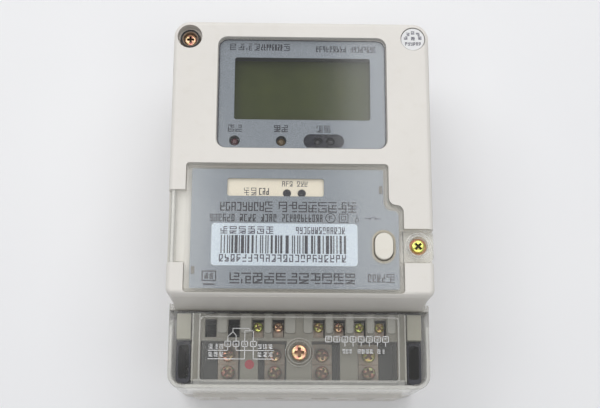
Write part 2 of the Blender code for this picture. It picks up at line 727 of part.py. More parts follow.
def build_power_parts():
    """What hangs under the board: relay, transformers, battery and capacitor."""
    box("latching_relay", (8, 46), (-22, 6), (29, UNDER_BOARD_Z), parts, RELAY_BLUE)
    core = box("power_transformer", (-46, -16), (24, 40), (24, UNDER_BOARD_Z), parts, WINDING)
    join(core, box("bobbin", (-40, -22), (18, 46), (28, 47)))
    rod("backup_battery", (30, 43.5), 7.2, (17.5, 42.5), "X", parts, SLEEVE, 24)
    rod("filter_capacitor", (-4, 12), 5.0, (30, UNDER_BOARD_Z), "Z", parts, BLACK, 24)
    ring = rod("current_transformer", (MAIN_X[3], 27.2), 11.0, (-41.6, -33), "Y", parts, RELAY_BLUE, 24)
    cut(ring, rod("ring_bore", (MAIN_X[3], 27.2), 5.5, (-50, -30), "Y", sides=20))


def build_busbars():
    """Flat bars from the clamps: a shunt and a load bar to the relay, and the neutral loop."""
    start = CLAMP_Y[1] + GAP
    bars = {
        "shunt_strip": ((MAIN_X[0], -4.0), (-4.0, 16.0)),
        "load_busbar": ((MAIN_X[1], -14.0), (-14.0, 16.0)),
    }
    for name, ((x, far), (cross_y, cross_x)) in bars.items():
        outline = [
            (x - 3, start, 0),
            (x + 3, start, 0),
            (x + 3, cross_y - 6, 0),
            (cross_x, cross_y - 6, 0),
            (cross_x, far, 0),
            (x - 3, far, 0),
        ]
        prism(name, [outline], *BUSBAR_Z, parts, COPPER)
    left, right = MAIN_X[2], MAIN_X[3]
    loop = [
        (left - 3, start, 0),
        (left + 3, start, 0),
        (left + 3, -30, 0),
        (right - 3, -30, 0),
        (right - 3, start, 0),
        (right + 3, start, 0),
        (right + 3, -24, 0),
        (left - 3, -24, 0),
    ]
    prism("neutral_link", [loop], *BUSBAR_Z, parts, COPPER)


def build_hanging_hook():
    """The steel tongue that slides up out of the base, with an eye for the wall screw."""
    tongue = rectangle(-7.9, 7.9, 54, 78.6, 1.5)
    tongue[2:] = [(7.9, 78.6, 5), (-7.9, 78.6, 5)]
    eye = rectangle(-3, 3, 67, 74, 2.9)
    prism("hanging_hook", [tongue, eye], 1.0, 2.4, parts, STEEL)


def main():
    for obj in list(bpy.data.objects):
        bpy.data.objects.remove(obj, do_unlink=True)
    bpy.context.scene.collection.children.link(parts)
    bpy.context.scene.collection.children.link(cutters)
    build_rear_base()
    build_front_cover()
    build_display_window()
    build_seals()
    build_flip_cover()
    build_nameplate()
    build_page_button()
    build_terminal_cover()
    build_terminal_block()
    build_terminal_shroud()
    build_clamps()
    build_board_and_display()
    build_module()
    build_power_parts()
    build_busbars()
    build_hanging_hook()


main()
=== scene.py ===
"""Looks of a single-phase prepaid electricity meter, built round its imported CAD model.

Lengths in the classes are in millimetres and are turned into metres by MM. The meter lies on its
back: +Z comes out of its face, +Y points to the display end and +X to a reader's right.
"""

import logging
import math
import random
from contextlib import contextmanager
from dataclasses import dataclass, field
from enum import Enum
from typing import Callable, Iterator, Optional, Sequence

import bmesh
import bpy
from mathutils import Matrix, Vector


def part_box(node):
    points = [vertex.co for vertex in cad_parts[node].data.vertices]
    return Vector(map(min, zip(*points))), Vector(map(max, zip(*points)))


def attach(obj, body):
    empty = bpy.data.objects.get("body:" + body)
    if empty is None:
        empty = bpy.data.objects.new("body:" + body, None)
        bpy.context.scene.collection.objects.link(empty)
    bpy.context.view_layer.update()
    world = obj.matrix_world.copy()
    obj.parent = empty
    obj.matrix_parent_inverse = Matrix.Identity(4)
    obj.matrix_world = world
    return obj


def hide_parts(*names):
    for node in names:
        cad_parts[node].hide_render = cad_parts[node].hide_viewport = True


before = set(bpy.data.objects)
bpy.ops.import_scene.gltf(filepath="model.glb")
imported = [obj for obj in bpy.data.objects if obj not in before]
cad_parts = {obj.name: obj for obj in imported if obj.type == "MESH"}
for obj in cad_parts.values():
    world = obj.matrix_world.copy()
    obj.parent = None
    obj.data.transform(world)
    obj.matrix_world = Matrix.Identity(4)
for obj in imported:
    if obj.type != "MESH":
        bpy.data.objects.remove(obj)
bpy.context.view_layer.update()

MM = 0.001
log = logging.getLogger("meter")

Point = tuple[float, float, float]
Colour = tuple[float, float, float]
HANDS = (("left", -1), ("right", 1))


# ------------------------------------------------------------------ finishes
class Graph:
    """A material's node tree, built a node at a time."""

    def __init__(self, name: str) -> None:
        """Makes a material that holds one Principled shader.

        Args:
            name: The material's name.
        """
        self.material = bpy.data.materials.new(name)
        self.material.use_nodes = True
        self.tree = self.material.node_tree
        self.shader = self.tree.nodes["Principled BSDF"]
        self.output = self.tree.nodes["Material Output"]
        self._place: Optional[bpy.types.NodeSocket] = None

    def node(self, kind: str, inputs: Optional[dict] = None, **settings) -> bpy.types.Node:
        """Adds a node.

        Args:
            kind: Blender's name for the node's type, without its ShaderNode prefix.
            inputs: Socket names with a value, or with the socket that feeds them.
            **settings: Properties of the node itself.

        Returns:
            The new node.
        """
        made = self.tree.nodes.new("ShaderNode" + kind)
        for key, value in settings.items():
            setattr(made, key, value)
        for key, value in (inputs or {}).items():
            self.feed(made.inputs[key], value)
        return made

    def feed(self, socket: bpy.types.NodeSocket, value: object) -> None:
        """Sets a socket, or links another socket to it.

        Args:
            socket: The socket to feed.
            value: A value, or the socket that feeds it.
        """
        if isinstance(value, bpy.types.NodeSocket):
            self.tree.links.new(value, socket)
        else:
            socket.default_value = value

    def place(self) -> bpy.types.NodeSocket:
        """The object coordinates, in metres.

        Returns:
            Their socket, which the whole material shares.
        """
        if self._place is None:
            self._place = self.node("TexCoord").outputs["Object"]
        return self._place

    def noise(self, size: float, detail: float = 3.0, stretch: Point = (1, 1, 1)) -> bpy.types.NodeSocket:
        """A noise between 0 and 1.

        Args:
            size: The width of its spots in millimetres.
            detail: How many finer layers it has.
            stretch: How much longer the spots are along each axis.

        Returns:
            Its factor.
        """
        spread = tuple(1 / (size * MM * s) for s in stretch)
        mapped = self.node("Mapping", {"Vector": self.place(), "Scale": spread})
        made = self.node("TexNoise", {"Vector": mapped.outputs[0], "Scale": 1.0, "Detail": detail})
        return made.outputs[0]

    def ramp(
        self, factor: bpy.types.NodeSocket, low: float, high: float, a: object, b: object
    ) -> bpy.types.NodeSocket:
        """Turns a factor between low and high into a mix of two colours or two numbers.

        Args:
            factor: What drives the mix.
            low: Where the first value still stands alone.
            high: Where the second value stands alone.
            a: The first value.
            b: The second value.

        Returns:
            The mixed colour or number.
        """
        if isinstance(a, (int, float)):
            made = self.node(
                "MapRange",
                {"Value": factor, "From Min": low, "From Max": high, "To Min": a, "To Max": b},
            )
            return made.outputs[0]
        share = self.node("MapRange", {"Value": factor, "From Min": low, "From Max": high}).outputs[0]
        return self.mix(share, a, b)

    def mix(self, share: object, a: object, b: object, way: str = "MIX") -> bpy.types.NodeSocket:
        """Mixes two colours by a share.

        Args:
            share: How much of the second colour shows.
            a: The first colour.
            b: The second colour.
            way: Blender's name for the blend.

        Returns:
            The mixed colour.
        """
        made = self.node("Mix", data_type="RGBA", blend_type=way)
        for index, value in ((0, share), (6, a), (7, b)):
            if isinstance(value, tuple) and len(value) == 3:
                value = (*value, 1.0)
            self.feed(made.inputs[index], value)
        return made.outputs[2]

    def relief(self, height: bpy.types.NodeSocket, strength: float, depth: float) -> None:
        """Bumps the surface.

        Args:
            height: The pattern.
            strength: How strongly it shows.
            depth: Its depth in millimetres.
        """
        bump = self.node("Bump", {"Height": height, "Strength": strength, "Distance": depth * MM})
        self.feed(self.shader.inputs["Normal"], bump.outputs[0])

    def surface(self, **values: object) -> None:
        """Feeds the Principled shader; a socket's name is written with underscores."""
        for key, value in values.items():
            if isinstance(value, tuple) and len(value) == 3:
                value = (*value, 1.0)
            self.feed(self.shader.inputs[key.replace("_", " ").title().replace("Ior", "IOR")], value)


@dataclass(frozen=True)
class MouldedPlastic:
    """Injection-moulded plastic with a fine spark-eroded texture.

    Args:
        name: The finish's name.
        colour: Its base colour.
        roughness: Its middle roughness.
        grain: The texture's width in millimetres.
        relief: How strongly the texture shows.
        mottle: How much lighter and darker its broad patches are.
        grime: The tint of the dirt in its broad patches.
    """

    name: str
    colour: Colour
    roughness: float = 0.42
    grain: float = 0.35
    relief: float = 0.12
    mottle: float = 0.05
    grime: Colour = (0.92, 0.89, 0.83)

    def make(self) -> bpy.types.Material:
        """Builds the material.

        Returns:
            The material.
        """
        g = Graph(self.name)
        broad = g.noise(28, 4)
        fine = g.noise(self.grain, 2)
        dark = tuple(c * (1 - self.mottle) * t for c, t in zip(self.colour, self.grime))
        light = tuple(min(1.0, c * (1 + self.mottle * 0.6)) for c in self.colour)
        body = g.ramp(broad, 0.35, 0.7, light, self.colour)
        spots = g.ramp(g.noise(5, 5), 0.55, 0.85, 0.0, 0.22)
        worn = g.mix(spots, body, dark)
        g.surface(
            base_color=worn,
            roughness=g.ramp(fine, 0.3, 0.7, self.roughness - 0.06, self.roughness + 0.08),
        )
        g.relief(fine, self.relief, 0.05)
        return g.material


@dataclass(frozen=True)
class ClearPlastic:
    """Clear polycarbonate: see-through head on, whiter and glossier at its edges.

    Args:
        name: The finish's name.
        tint: The colour of its haze.
        haze: How much of what lies behind it the haze hides.
        passed: The tint of what shows through.
        roughness: The roughness of its gloss.
        edge: How strongly slanting faces turn opaque.
        mirror: How much a face seen head on reflects.
        painted_glow: How strongly the sheet glows by its own emission: a painted glow that stands in for
            light piped through it.
    """

    name: str
    tint: Colour = (0.90, 0.89, 0.86)
    haze: float = 0.06
    passed: Colour = (0.985, 0.985, 0.975)
    roughness: float = 0.13
    edge: float = 0.5
    mirror: float = 0.042
    painted_glow: float = 0.0

    def make(self) -> bpy.types.Material:
        """Builds the material.

        Returns:
            The material.
        """
        g = Graph(self.name)
        scuffs = g.noise(1.2, 5, (1, 6, 1))
        g.surface(
            base_color=g.ramp(g.noise(12, 3), 0.3, 0.75, self.tint, tuple(c * 0.93 for c in self.tint)),
            roughness=g.ramp(scuffs, 0.5, 0.85, self.roughness, self.roughness + 0.18),
        )
        g.shader.inputs["IOR"].default_value = 1.49
        # The emission is a painted glow: it brightens the sheet without any lamp.
        g.shader.inputs["Emission Color"].default_value = (*self.tint, 1.0)
        g.shader.inputs["Emission Strength"].default_value = self.painted_glow
        g.relief(g.noise(9, 2), 0.06, 0.2)
        clear = g.node("BsdfTransparent", {"Color": (*self.passed, 1.0)})
        slant = g.node("LayerWeight", {"Blend": 0.5})
        share = g.node(
            "MapRange",
            {"Value": slant.outputs["Facing"], "From Min": 0.5, "To Min": self.haze, "To Max": self.edge},
            interpolation_type="SMOOTHSTEP",
        )
        steep = g.node("Math", {0: slant.outputs["Facing"], 1: 5.0}, operation="POWER")
        gloss = g.node("Math", {0: steep.outputs[0], 1: 0.7, 2: self.mirror}, operation="MULTIPLY_ADD")
        mirror = g.node("BsdfAnisotropic", {"Color": (1, 1, 1, 1), "Roughness": self.roughness})
        sheet = g.node("MixShader", {0: gloss.outputs[0], 1: clear.outputs[0], 2: mirror.outputs[0]})
        mixed = g.node("MixShader", {0: share.outputs[0], 1: sheet.outputs[0], 2: g.shader.outputs[0]})
        g.feed(g.output.inputs["Surface"], mixed.outputs[0])
        return g.material


@dataclass(frozen=True)
class PlatedMetal:
    """Plated or bare metal with a drifting tarnish.

    Args:
        name: The finish's name.
        tones: Its three tones, which drift into each other.
        roughness: Its middle roughness.
        spot: The width of the drift in millimetres.
        brushed: How strongly fine turning marks show.
        metal: How metallic it is.
    """

    name: str
    tones: tuple[Colour, Colour, Colour]
    roughness: float = 0.3
    spot: float = 1.6
    brushed: float = 0.15
    metal: float = 0.8

    def make(self) -> bpy.types.Material:
        """Builds the material.

        Returns:
            The material.
        """
        g = Graph(self.name)
        drift = g.noise(self.spot, 3)
        first = g.ramp(drift, 0.36, 0.56, self.tones[0], self.tones[1])
        both = g.ramp(g.noise(self.spot * 0.7, 4, (1.4, 1, 1)), 0.5, 0.68, 0.0, 1.0)
        g.surface(
            base_color=g.mix(both, first, self.tones[2]),
            metallic=self.metal,
            roughness=g.ramp(g.noise(0.5, 4), 0.3, 0.75, self.roughness - 0.08, self.roughness + 0.15),
        )
        g.relief(g.noise(0.3, 4, (5, 1, 1)), self.brushed, 0.04)
        return g.material


@dataclass(frozen=True)
class PrintedFilm:
    """Metallic ink on the back of a film: a fine sparkle over a blue-grey ground.

    Args:
        name: The finish's name.
        colour: The ground.
        sparkle: How much lighter the flakes are.
        roughness: Its roughness.
        metal: How metallic it is.
    """

    name: str
    colour: Colour
    sparkle: float = 0.28
    roughness: float = 0.4
    metal: float = 0.25

    def make(self) -> bpy.types.Material:
        """Builds the material.

        Returns:
            The material.
        """
        g = Graph(self.name)
        light = tuple(min(1.0, c * (1 + self.sparkle) + 0.02) for c in self.colour)
        dark = tuple(c * (1 - self.sparkle * 0.55) for c in self.colour)
        flakes = g.noise(0.42, 2)
        ground = g.ramp(flakes, 0.34, 0.66, dark, light)
        cells = g.node("TexVoronoi", {"Vector": g.place(), "Scale": 2200.0})
        tinted = g.mix(g.ramp(cells.outputs["Distance"], 0.0, 0.6, 0.22, 0.0), ground, (0.62, 0.68, 0.76))
        g.surface(
            base_color=tinted,
            metallic=self.metal,
            roughness=g.ramp(flakes, 0.3, 0.7, self.roughness - 0.08, self.roughness + 0.08),
        )
        g.relief(flakes, 0.08, 0.03)
        return g.material


@dataclass(frozen=True)
class Ink:
    """Screen-printed ink, slightly patchy.

    Args:
        name: The finish's name.
        colour: The ink's colour.
        cover: How opaque the thinnest patches are.
        roughness: Its roughness.
    """

    name: str
    colour: Colour
    cover: float = 1.0
    roughness: float = 0.5

    def make(self) -> bpy.types.Material:
        """Builds the material.

        Returns:
            The material.
        """
        g = Graph(self.name)
        patchy = g.noise(0.6, 3)
        lighter = tuple(min(1.0, c * 1.25 + 0.015) for c in self.colour)
        g.surface(base_color=g.ramp(patchy, 0.35, 0.7, self.colour, lighter), roughness=self.roughness)
        if self.cover < 1.0:
            clear = g.node("BsdfTransparent")
            share = g.ramp(patchy, 0.3, 0.7, self.cover, 1.0)
            mixed = g.node("MixShader", {0: share, 1: clear.outputs[0], 2: g.shader.outputs[0]})
            g.feed(g.output.inputs["Surface"], mixed.outputs[0])
        return g.material


@dataclass(frozen=True)
class Lens:
    """A coloured lamp lens or a display's glass: dark, glossy and a little uneven.

    Args:
        name: The finish's name.
        colour: The body's colour.
        depths: The colour of its darker depths.
        spot: The width of its unevenness in millimetres.
        roughness: Its gloss.
        coat: How much clear coat lies over it.
    """

    name: str
    colour: Colour
    depths: Colour
    spot: float = 2.0
    roughness: float = 0.12
    coat: float = 0.5

    def make(self) -> bpy.types.Material:
        """Builds the material.

        Returns:
            The material.
        """
        g = Graph(self.name)
        g.surface(
            base_color=g.ramp(g.noise(self.spot, 3), 0.3, 0.72, self.depths, self.colour),
            roughness=self.roughness,
        )
        g.shader.inputs["Coat Weight"].default_value = self.coat
        g.shader.inputs["Specular IOR Level"].default_value = min(0.5, self.coat)
        g.shader.inputs["Coat Roughness"].default_value = 0.05
        return g.material


@dataclass(frozen=True)
class CircuitBoard:
    """Solder mask over copper tracks.

    Args:
        name: The finish's name.
        mask: The mask's colour.
        track: Its colour over copper.
    """

    name: str
    mask: Colour = (0.016, 0.10, 0.045)
    track: Colour = (0.05, 0.22, 0.09)

    def make(self) -> bpy.types.Material:
        """Builds the material.

        Returns:
            The material.
        """
        g = Graph(self.name)
        mapped = g.node("Mapping", {"Vector": g.place(), "Scale": (1000.0, 1000.0, 1000.0)})
        bricks = g.node(
            "TexBrick",
            {
                "Vector": mapped.outputs[0],
                "Color1": (*self.mask, 1),
                "Color2": (*(c * 1.3 for c in self.mask), 1),
                "Mortar": (*self.track, 1),
                "Scale": 0.35,
                "Mortar Size": 0.05,
                "Brick Width": 1.7,
                "Row Height": 0.6,
            },
        )
        spots = g.ramp(g.noise(2.2, 2), 0.62, 0.66, 0.0, 1.0)
        g.surface(base_color=g.mix(spots, bricks.outputs[0], self.track), roughness=0.35)
        g.relief(bricks.outputs[1], 0.2, 0.04)
        return g.material


class Palette:
    """Every finish of the meter, made once."""

    def __init__(self) -> None:
        """Builds the materials."""
        self.ivory = MouldedPlastic("ivory_case", (0.785, 0.755, 0.705)).make()
        self.ivory_inner = MouldedPlastic("ivory_module", (0.98, 0.89, 0.75), 0.5).make()
        self.key = MouldedPlastic("ivory_key", (0.80, 0.765, 0.68), 0.38, relief=0.06).make()
        self.shroud = MouldedPlastic("shroud_plastic", (0.315, 0.30, 0.265), 0.5).make()
        self.shroud_light = MouldedPlastic("tongue_plastic", (0.42, 0.41, 0.38), 0.5).make()
        self.side_pad = MouldedPlastic("side_plastic", (0.42, 0.405, 0.34), 0.5).make()
        self.block = MouldedPlastic(
            "terminal_plastic", (0.030, 0.030, 0.042), 0.45, grime=(1.6, 1.5, 1.4)
        ).make()
        self.navy = MouldedPlastic(
            "side_block_plastic", (0.006, 0.007, 0.022), 0.35, grime=(1.5, 1.4, 1.3)
        ).make()
        self.black = MouldedPlastic(
            "black_plastic", (0.012, 0.012, 0.014), 0.45, grime=(1.5, 1.4, 1.3)
        ).make()
        self.gasket = MouldedPlastic("gasket_rubber", (0.03, 0.03, 0.03), 0.7, grime=(1.5, 1.4, 1.3)).make()
        self.white = MouldedPlastic("white_plastic", (0.80, 0.80, 0.80), 0.45, relief=0.05).make()
        self.clear = ClearPlastic("clear_cover", (0.97, 0.95, 0.90), 0.014, edge=0.6, mirror=0.03).make()
        # Hazier white finishes for the bars along the lid's edges: painted highlights.
        self.rim = ClearPlastic("clear_rim", (0.98, 0.97, 0.94), 0.36, edge=0.6).make()
        self.brow = ClearPlastic("clear_brow", (0.99, 0.98, 0.95), 0.3, edge=0.6).make()
        # The front wall's sheet glows a little by emission: painted light.
        self.face = ClearPlastic("clear_face", (0.98, 0.96, 0.90), 0.58, edge=0.6, painted_glow=0.3).make()
        # A faint hazy sheet over the window's lower part: painted reflection.
        self.painted_reflection = ClearPlastic("clear_painted_reflection", (0.93, 0.93, 0.91), 0.062, edge=0.3, mirror=0.01).make()
        self.rib = ClearPlastic("clear_rib", (0.95, 0.94, 0.91), 0.22, edge=0.6).make()
        self.door = ClearPlastic("clear_door", (0.96, 0.94, 0.89), 0.03).make()
        self.pane = ClearPlastic("window_pane", (0.80, 0.82, 0.84), 0.012, edge=0.3, mirror=0.044).make()
        self.film = PrintedFilm("window_film", (0.215, 0.24, 0.28)).make()
        self.plate = PrintedFilm("nameplate_print", (0.225, 0.255, 0.30)).make()
        self.catch = MouldedPlastic("catch_plastic", (0.16, 0.15, 0.13), 0.5).make()
        self.label = Ink("barcode_paper", (0.655, 0.735, 0.87), roughness=0.45).make()
        self.ink = Ink("dark_ink", (0.018, 0.018, 0.035)).make()
        self.grey_ink = Ink("grey_ink", (0.07, 0.065, 0.11)).make()
        self.white_ink = Ink("white_ink", (0.78, 0.78, 0.78), 0.75).make()
        self.red_ink = Ink("red_ink", (0.50, 0.012, 0.045)).make()
        self.lcd = Lens("lcd_glass", (0.056, 0.068, 0.012), (0.040, 0.050, 0.007), 9.0, 0.3, coat=0.12).make()
        self.red_lens = Lens("red_lens", (0.10, 0.010, 0.020), (0.02, 0.003, 0.006)).make()
        self.amber_lens = Lens("yellow_lens", (0.22, 0.13, 0.03), (0.06, 0.035, 0.01)).make()
        self.ir_lens = Lens("infrared_lens", (0.014, 0.009, 0.020), (0.004, 0.003, 0.006)).make()
        self.dark_dot = Lens("dark_window", (0.012, 0.013, 0.03), (0.004, 0.004, 0.01)).make()
        self.zinc = PlatedMetal(
            "yellow_zinc", ((0.90, 0.70, 0.20), (0.72, 0.76, 0.26), (0.85, 0.42, 0.26)), metal=0.65
        ).make()
        self.dull_zinc = PlatedMetal(
            "dull_zinc", ((0.80, 0.62, 0.36), (0.84, 0.36, 0.30), (0.50, 0.70, 0.30)), 0.3, metal=0.75
        ).make()
        self.bright_zinc = PlatedMetal(
            "bright_zinc", ((0.92, 0.86, 0.18), (0.78, 0.88, 0.22), (0.90, 0.68, 0.24)), 0.22, metal=0.7
        ).make()
        self.rose_zinc = PlatedMetal(
            "rose_zinc", ((0.84, 0.46, 0.34), (0.88, 0.66, 0.36), (0.82, 0.24, 0.24)), 0.24, metal=0.8
        ).make()
        self.brass = PlatedMetal(
            "clamp_brass", ((0.90, 0.78, 0.68), (0.84, 0.70, 0.60), (0.92, 0.70, 0.60)), 0.42, metal=0.3
        ).make()
        self.bronze = PlatedMetal(
            "washer_bronze", ((0.46, 0.26, 0.16), (0.36, 0.22, 0.12), (0.50, 0.18, 0.14)), 0.3
        ).make()
        # Darker finishes painted into the screws' cross recesses: painted shade, one dark and one paler.
        self.recess = PlatedMetal(
            "recess_shade", ((0.09, 0.06, 0.03), (0.06, 0.04, 0.03), (0.11, 0.05, 0.03)), 0.5, metal=0.4
        ).make()
        self.pale_recess_shade = PlatedMetal(
            "recess_shade_tan", ((0.42, 0.28, 0.18), (0.34, 0.22, 0.14), (0.46, 0.20, 0.16)), 0.5, metal=0.4
        ).make()
        self.collar = MouldedPlastic("collar_plastic", (0.50, 0.455, 0.37), 0.45).make()
        self.cup = MouldedPlastic("cup_plastic", (0.30, 0.225, 0.165), 0.5).make()
        self.nickel = PlatedMetal(
            "satin_pin", ((0.72, 0.71, 0.68), (0.66, 0.65, 0.62), (0.74, 0.73, 0.70)), 0.6, metal=0.3
        ).make()
        self.steel = PlatedMetal(
            "steel", ((0.56, 0.56, 0.57), (0.50, 0.50, 0.52), (0.60, 0.60, 0.58)), 0.3
        ).make()
        self.copper = PlatedMetal(
            "copper", ((0.70, 0.34, 0.20), (0.60, 0.28, 0.17), (0.75, 0.42, 0.26)), 0.35
        ).make()
        self.board = CircuitBoard("circuit_board").make()
        self.relay = MouldedPlastic("relay_case", (0.05, 0.10, 0.28), 0.35).make()
        self.tape = MouldedPlastic("winding_tape", (0.62, 0.44, 0.05), 0.35, 1.6, 0.3).make()
        self.sleeve = MouldedPlastic("battery_sleeve", (0.04, 0.20, 0.09), 0.3, 2.0).make()


# ------------------------------------------------------------------ modelling bench
def clear_selection() -> None:
    """Leaves edit mode and deselects everything."""
    if bpy.context.object is not None and bpy.context.object.mode != "OBJECT":
        bpy.ops.object.mode_set(mode="OBJECT")
    bpy.ops.object.select_all(action="DESELECT")


def activate(obj: bpy.types.Object) -> None:
    """Makes obj the only selected, active object.

    Args:
        obj: The piece.
    """
    clear_selection()
    obj.select_set(True)
    bpy.context.view_layer.objects.active = obj


@contextmanager
def editing(obj: bpy.types.Object, kind: str = "EDGE") -> Iterator[bpy.types.Object]:
    """Opens obj in edit mode with nothing selected.

    Args:
        obj: The piece.
        kind: VERT, EDGE or FACE.

    Yields:
        The piece, in edit mode.
    """
    activate(obj)
    bpy.ops.object.mode_set(mode="EDIT")
    bpy.ops.mesh.select_mode(type=kind)
    bpy.ops.mesh.select_all(action="DESELECT")
    yield obj
    bpy.ops.object.mode_set(mode="OBJECT")


def pick(obj: bpy.types.Object, kind: str, test: Callable[[object], bool]) -> int:
    """Selects what passes a test in edit mode.

    Args:
        obj: The piece, open in edit mode.
        kind: VERT, EDGE or FACE.
        test: Says yes to a bmesh vertex, edge or face.

    Returns:
        How many were selected.
    """
    bpy.ops.mesh.select_all(action="DESELECT")
    mesh = bmesh.from_edit_mesh(obj.data)
    items = {"VERT": mesh.verts, "EDGE": mesh.edges, "FACE": mesh.faces}[kind]
    found = 0
    for item in items:
        if test(item):
            item.select_set(True)
            found += 1
    bmesh.update_edit_mesh(obj.data)
    return found


def upright(edge: bmesh.types.BMEdge) -> bool:
    """True for an edge that runs along Z."""
    run = edge.verts[1].co - edge.verts[0].co
    return abs(run.z) > 0.98 * run.length


def on_rim(height: float) -> Callable[[bmesh.types.BMEdge], bool]:
    """A test for the outer edges of the face at a height in millimetres.

    Args:
        height: The height of the flat face, in millimetres.

    Returns:
        The test.
    """

    def test(edge: bmesh.types.BMEdge) -> bool:
        """True for an edge between that face and a side."""
        level = all(abs(v.co.z - height * MM) < 1e-6 for v in edge.verts)
        return level and any(abs(f.normal.z) < 0.5 for f in edge.link_faces)

    return test


def settle(obj: bpy.types.Object, name: str) -> bpy.types.Object:
    """Names a piece and puts its place and size into its mesh.

    Args:
        obj: The piece.
        name: Its new name.

    Returns:
        The piece.
    """
    activate(obj)
    bpy.ops.object.transform_apply(location=True, rotation=True, scale=True)
    obj.name = name
    obj.data.name = name
    return obj


def slab(
    name: str,
    low: Sequence[float],
    high: Sequence[float],
    corner: float = 0.0,
    edge: float = 0.0,
    foot: float = 0.0,
    steps: int = 6,
) -> bpy.types.Object:
    """A box with rounded upright corners and rims.

    Args:
        name: The piece's name.
        low: Its lowest corner.
        high: Its highest corner.
        corner: The radius of its upright corners.
        edge: The rounding of its top rim.
        foot: The rounding of its bottom rim.
        steps: How many facets a corner has.

    Returns:
        The piece.
    """
    clear_selection()
    middle = [(a + b) / 2 * MM for a, b in zip(low, high)]
    bpy.ops.mesh.primitive_cube_add(size=1, location=middle)
    obj = bpy.context.object
    obj.scale = [(b - a) * MM for a, b in zip(low, high)]
    settle(obj, name)
    if corner or edge or foot:
        with editing(obj):
            if corner:
                pick(obj, "EDGE", upright)
                bpy.ops.mesh.bevel(offset=corner * MM, segments=steps, affect="EDGES", clamp_overlap=True)
            for height, amount in ((high[2], edge), (low[2], foot)):
                if amount:
                    pick(obj, "EDGE", on_rim(height))
                    bpy.ops.mesh.bevel(offset=amount * MM, segments=3, affect="EDGES", clamp_overlap=True)
    return obj


def drum(
    name: str,
    centre: Sequence[float],
    radius: float,
    z0: float,
    z1: float,
    edge: float = 0.0,
    foot: float = 0.0,
    sides: int = 48,
) -> bpy.types.Object:
    """An upright cylinder with rounded rims.

    Args:
        name: The piece's name.
        centre: Its axis in X and Y.
        radius: Its radius.
        z0: Its foot.
        z1: Its top.
        edge: The rounding of its top rim.
        foot: The rounding of its bottom rim.
        sides: How many facets it has.

    Returns:
        The piece.
    """
    clear_selection()
    bpy.ops.mesh.primitive_cylinder_add(
        vertices=sides,
        radius=radius * MM,
        depth=(z1 - z0) * MM,
        location=(centre[0] * MM, centre[1] * MM, (z0 + z1) / 2 * MM),
    )
    obj = settle(bpy.context.object, name)
    if edge or foot:
        with editing(obj):
            for height, amount in ((z1, edge), (z0, foot)):
                if amount:
                    pick(obj, "EDGE", on_rim(height))
                    bpy.ops.mesh.bevel(offset=amount * MM, segments=3, affect="EDGES", clamp_overlap=True)
    return obj


def lathe(
    name: str, centre: Sequence[float], profile: Sequence[tuple[float, float]], sides: int = 48
) -> bpy.types.Object:
    """A turned piece on an upright axis, spun from its profile.

    Args:
        name: The piece's name.
        centre: Its axis in X and Y.
        profile: Points of radius and height; a closed ring ends where it starts.
        sides: How many facets it has.

    Returns:
        The piece.
    """
    ring = tuple(profile[0]) == tuple(profile[-1])
    points = list(profile[:-1]) if ring else list(profile)
    runs = [(i, i + 1) for i in range(len(points) - 1)] + ([(len(points) - 1, 0)] if ring else [])
    mesh = bpy.data.meshes.new(name)
    mesh.from_pydata([((centre[0] + r) * MM, centre[1] * MM, z * MM) for r, z in points], runs, [])
    obj = bpy.data.objects.new(name, mesh)
    bpy.context.scene.collection.objects.link(obj)
    with editing(obj, "VERT"):
        bpy.ops.mesh.select_all(action="SELECT")
        bpy.ops.mesh.spin(
            steps=sides,
            angle=2 * math.pi,
            center=(centre[0] * MM, centre[1] * MM, 0),
            axis=(0, 0, 1),
        )
        bpy.ops.mesh.select_all(action="SELECT")
        bpy.ops.mesh.remove_doubles(threshold=1e-6)
        bpy.ops.mesh.normals_make_consistent(inside=False)
    return obj


def cutting(obj: bpy.types.Object, way: str, others: Sequence[bpy.types.Object]) -> bpy.types.Object:
    """Applies Booleans with other solids, which are used up.

    Args:
        obj: The piece.
        way: DIFFERENCE, UNION or INTERSECT.
        others: The other solids.

    Returns:
        The piece.
    """
    for other in others:
        step = obj.modifiers.new(way, "BOOLEAN")
        step.operation = way
        step.solver = "EXACT"
        step.object = other
        activate(obj)
        bpy.ops.object.modifier_apply(modifier=step.name)
        spent = other.data
        bpy.data.objects.remove(other, do_unlink=True)
        bpy.data.meshes.remove(spent)
    return obj


def carve(obj: bpy.types.Object, *others: bpy.types.Object) -> bpy.types.Object:
    """Cuts other solids out of obj."""
    return cutting(obj, "DIFFERENCE", others)


def fuse(obj: bpy.types.Object, *others: bpy.types.Object) -> bpy.types.Object:
    """Joins other solids to obj."""
    return cutting(obj, "UNION", others)


def soften(obj: bpy.types.Object, width: float, segments: int = 2, angle: float = 32.0) -> bpy.types.Object:
    """Rounds every sharp edge and shades the rest smooth.

    A rounding that would fold a crowded corner is tried again at half its width.

    Args:
        obj: The piece.
        width: The rounding in millimetres.
        segments: How many facets the rounding has.
        angle: The angle in degrees above which an edge is sharp.

    Returns:
        The piece.
    """
    plain = obj.data.copy()
    volume = volume_of(plain)
    for share in (1.0, 0.5, 0.25, 0.1):
        step = obj.modifiers.new("soften", "BEVEL")
        step.width = width * share * MM
        step.segments = segments
        step.limit_method = "ANGLE"
        step.angle_limit = math.radians(angle)
        step.use_clamp_overlap = True
        activate(obj)
        bpy.ops.object.modifier_apply(modifier=step.name)
        drift = abs(volume_of(obj.data) / volume - 1)
        if drift < 0.06 and inside_of(obj.data, plain):
            break
        log.info("%s: a rounding of %.2f mm folds (drift %.3f)", obj.name, width * share, drift)
        folded, obj.data = obj.data, plain.copy()
        bpy.data.meshes.remove(folded)
    obj.data.name = obj.name
    bpy.data.meshes.remove(plain)
    return smooth(obj)


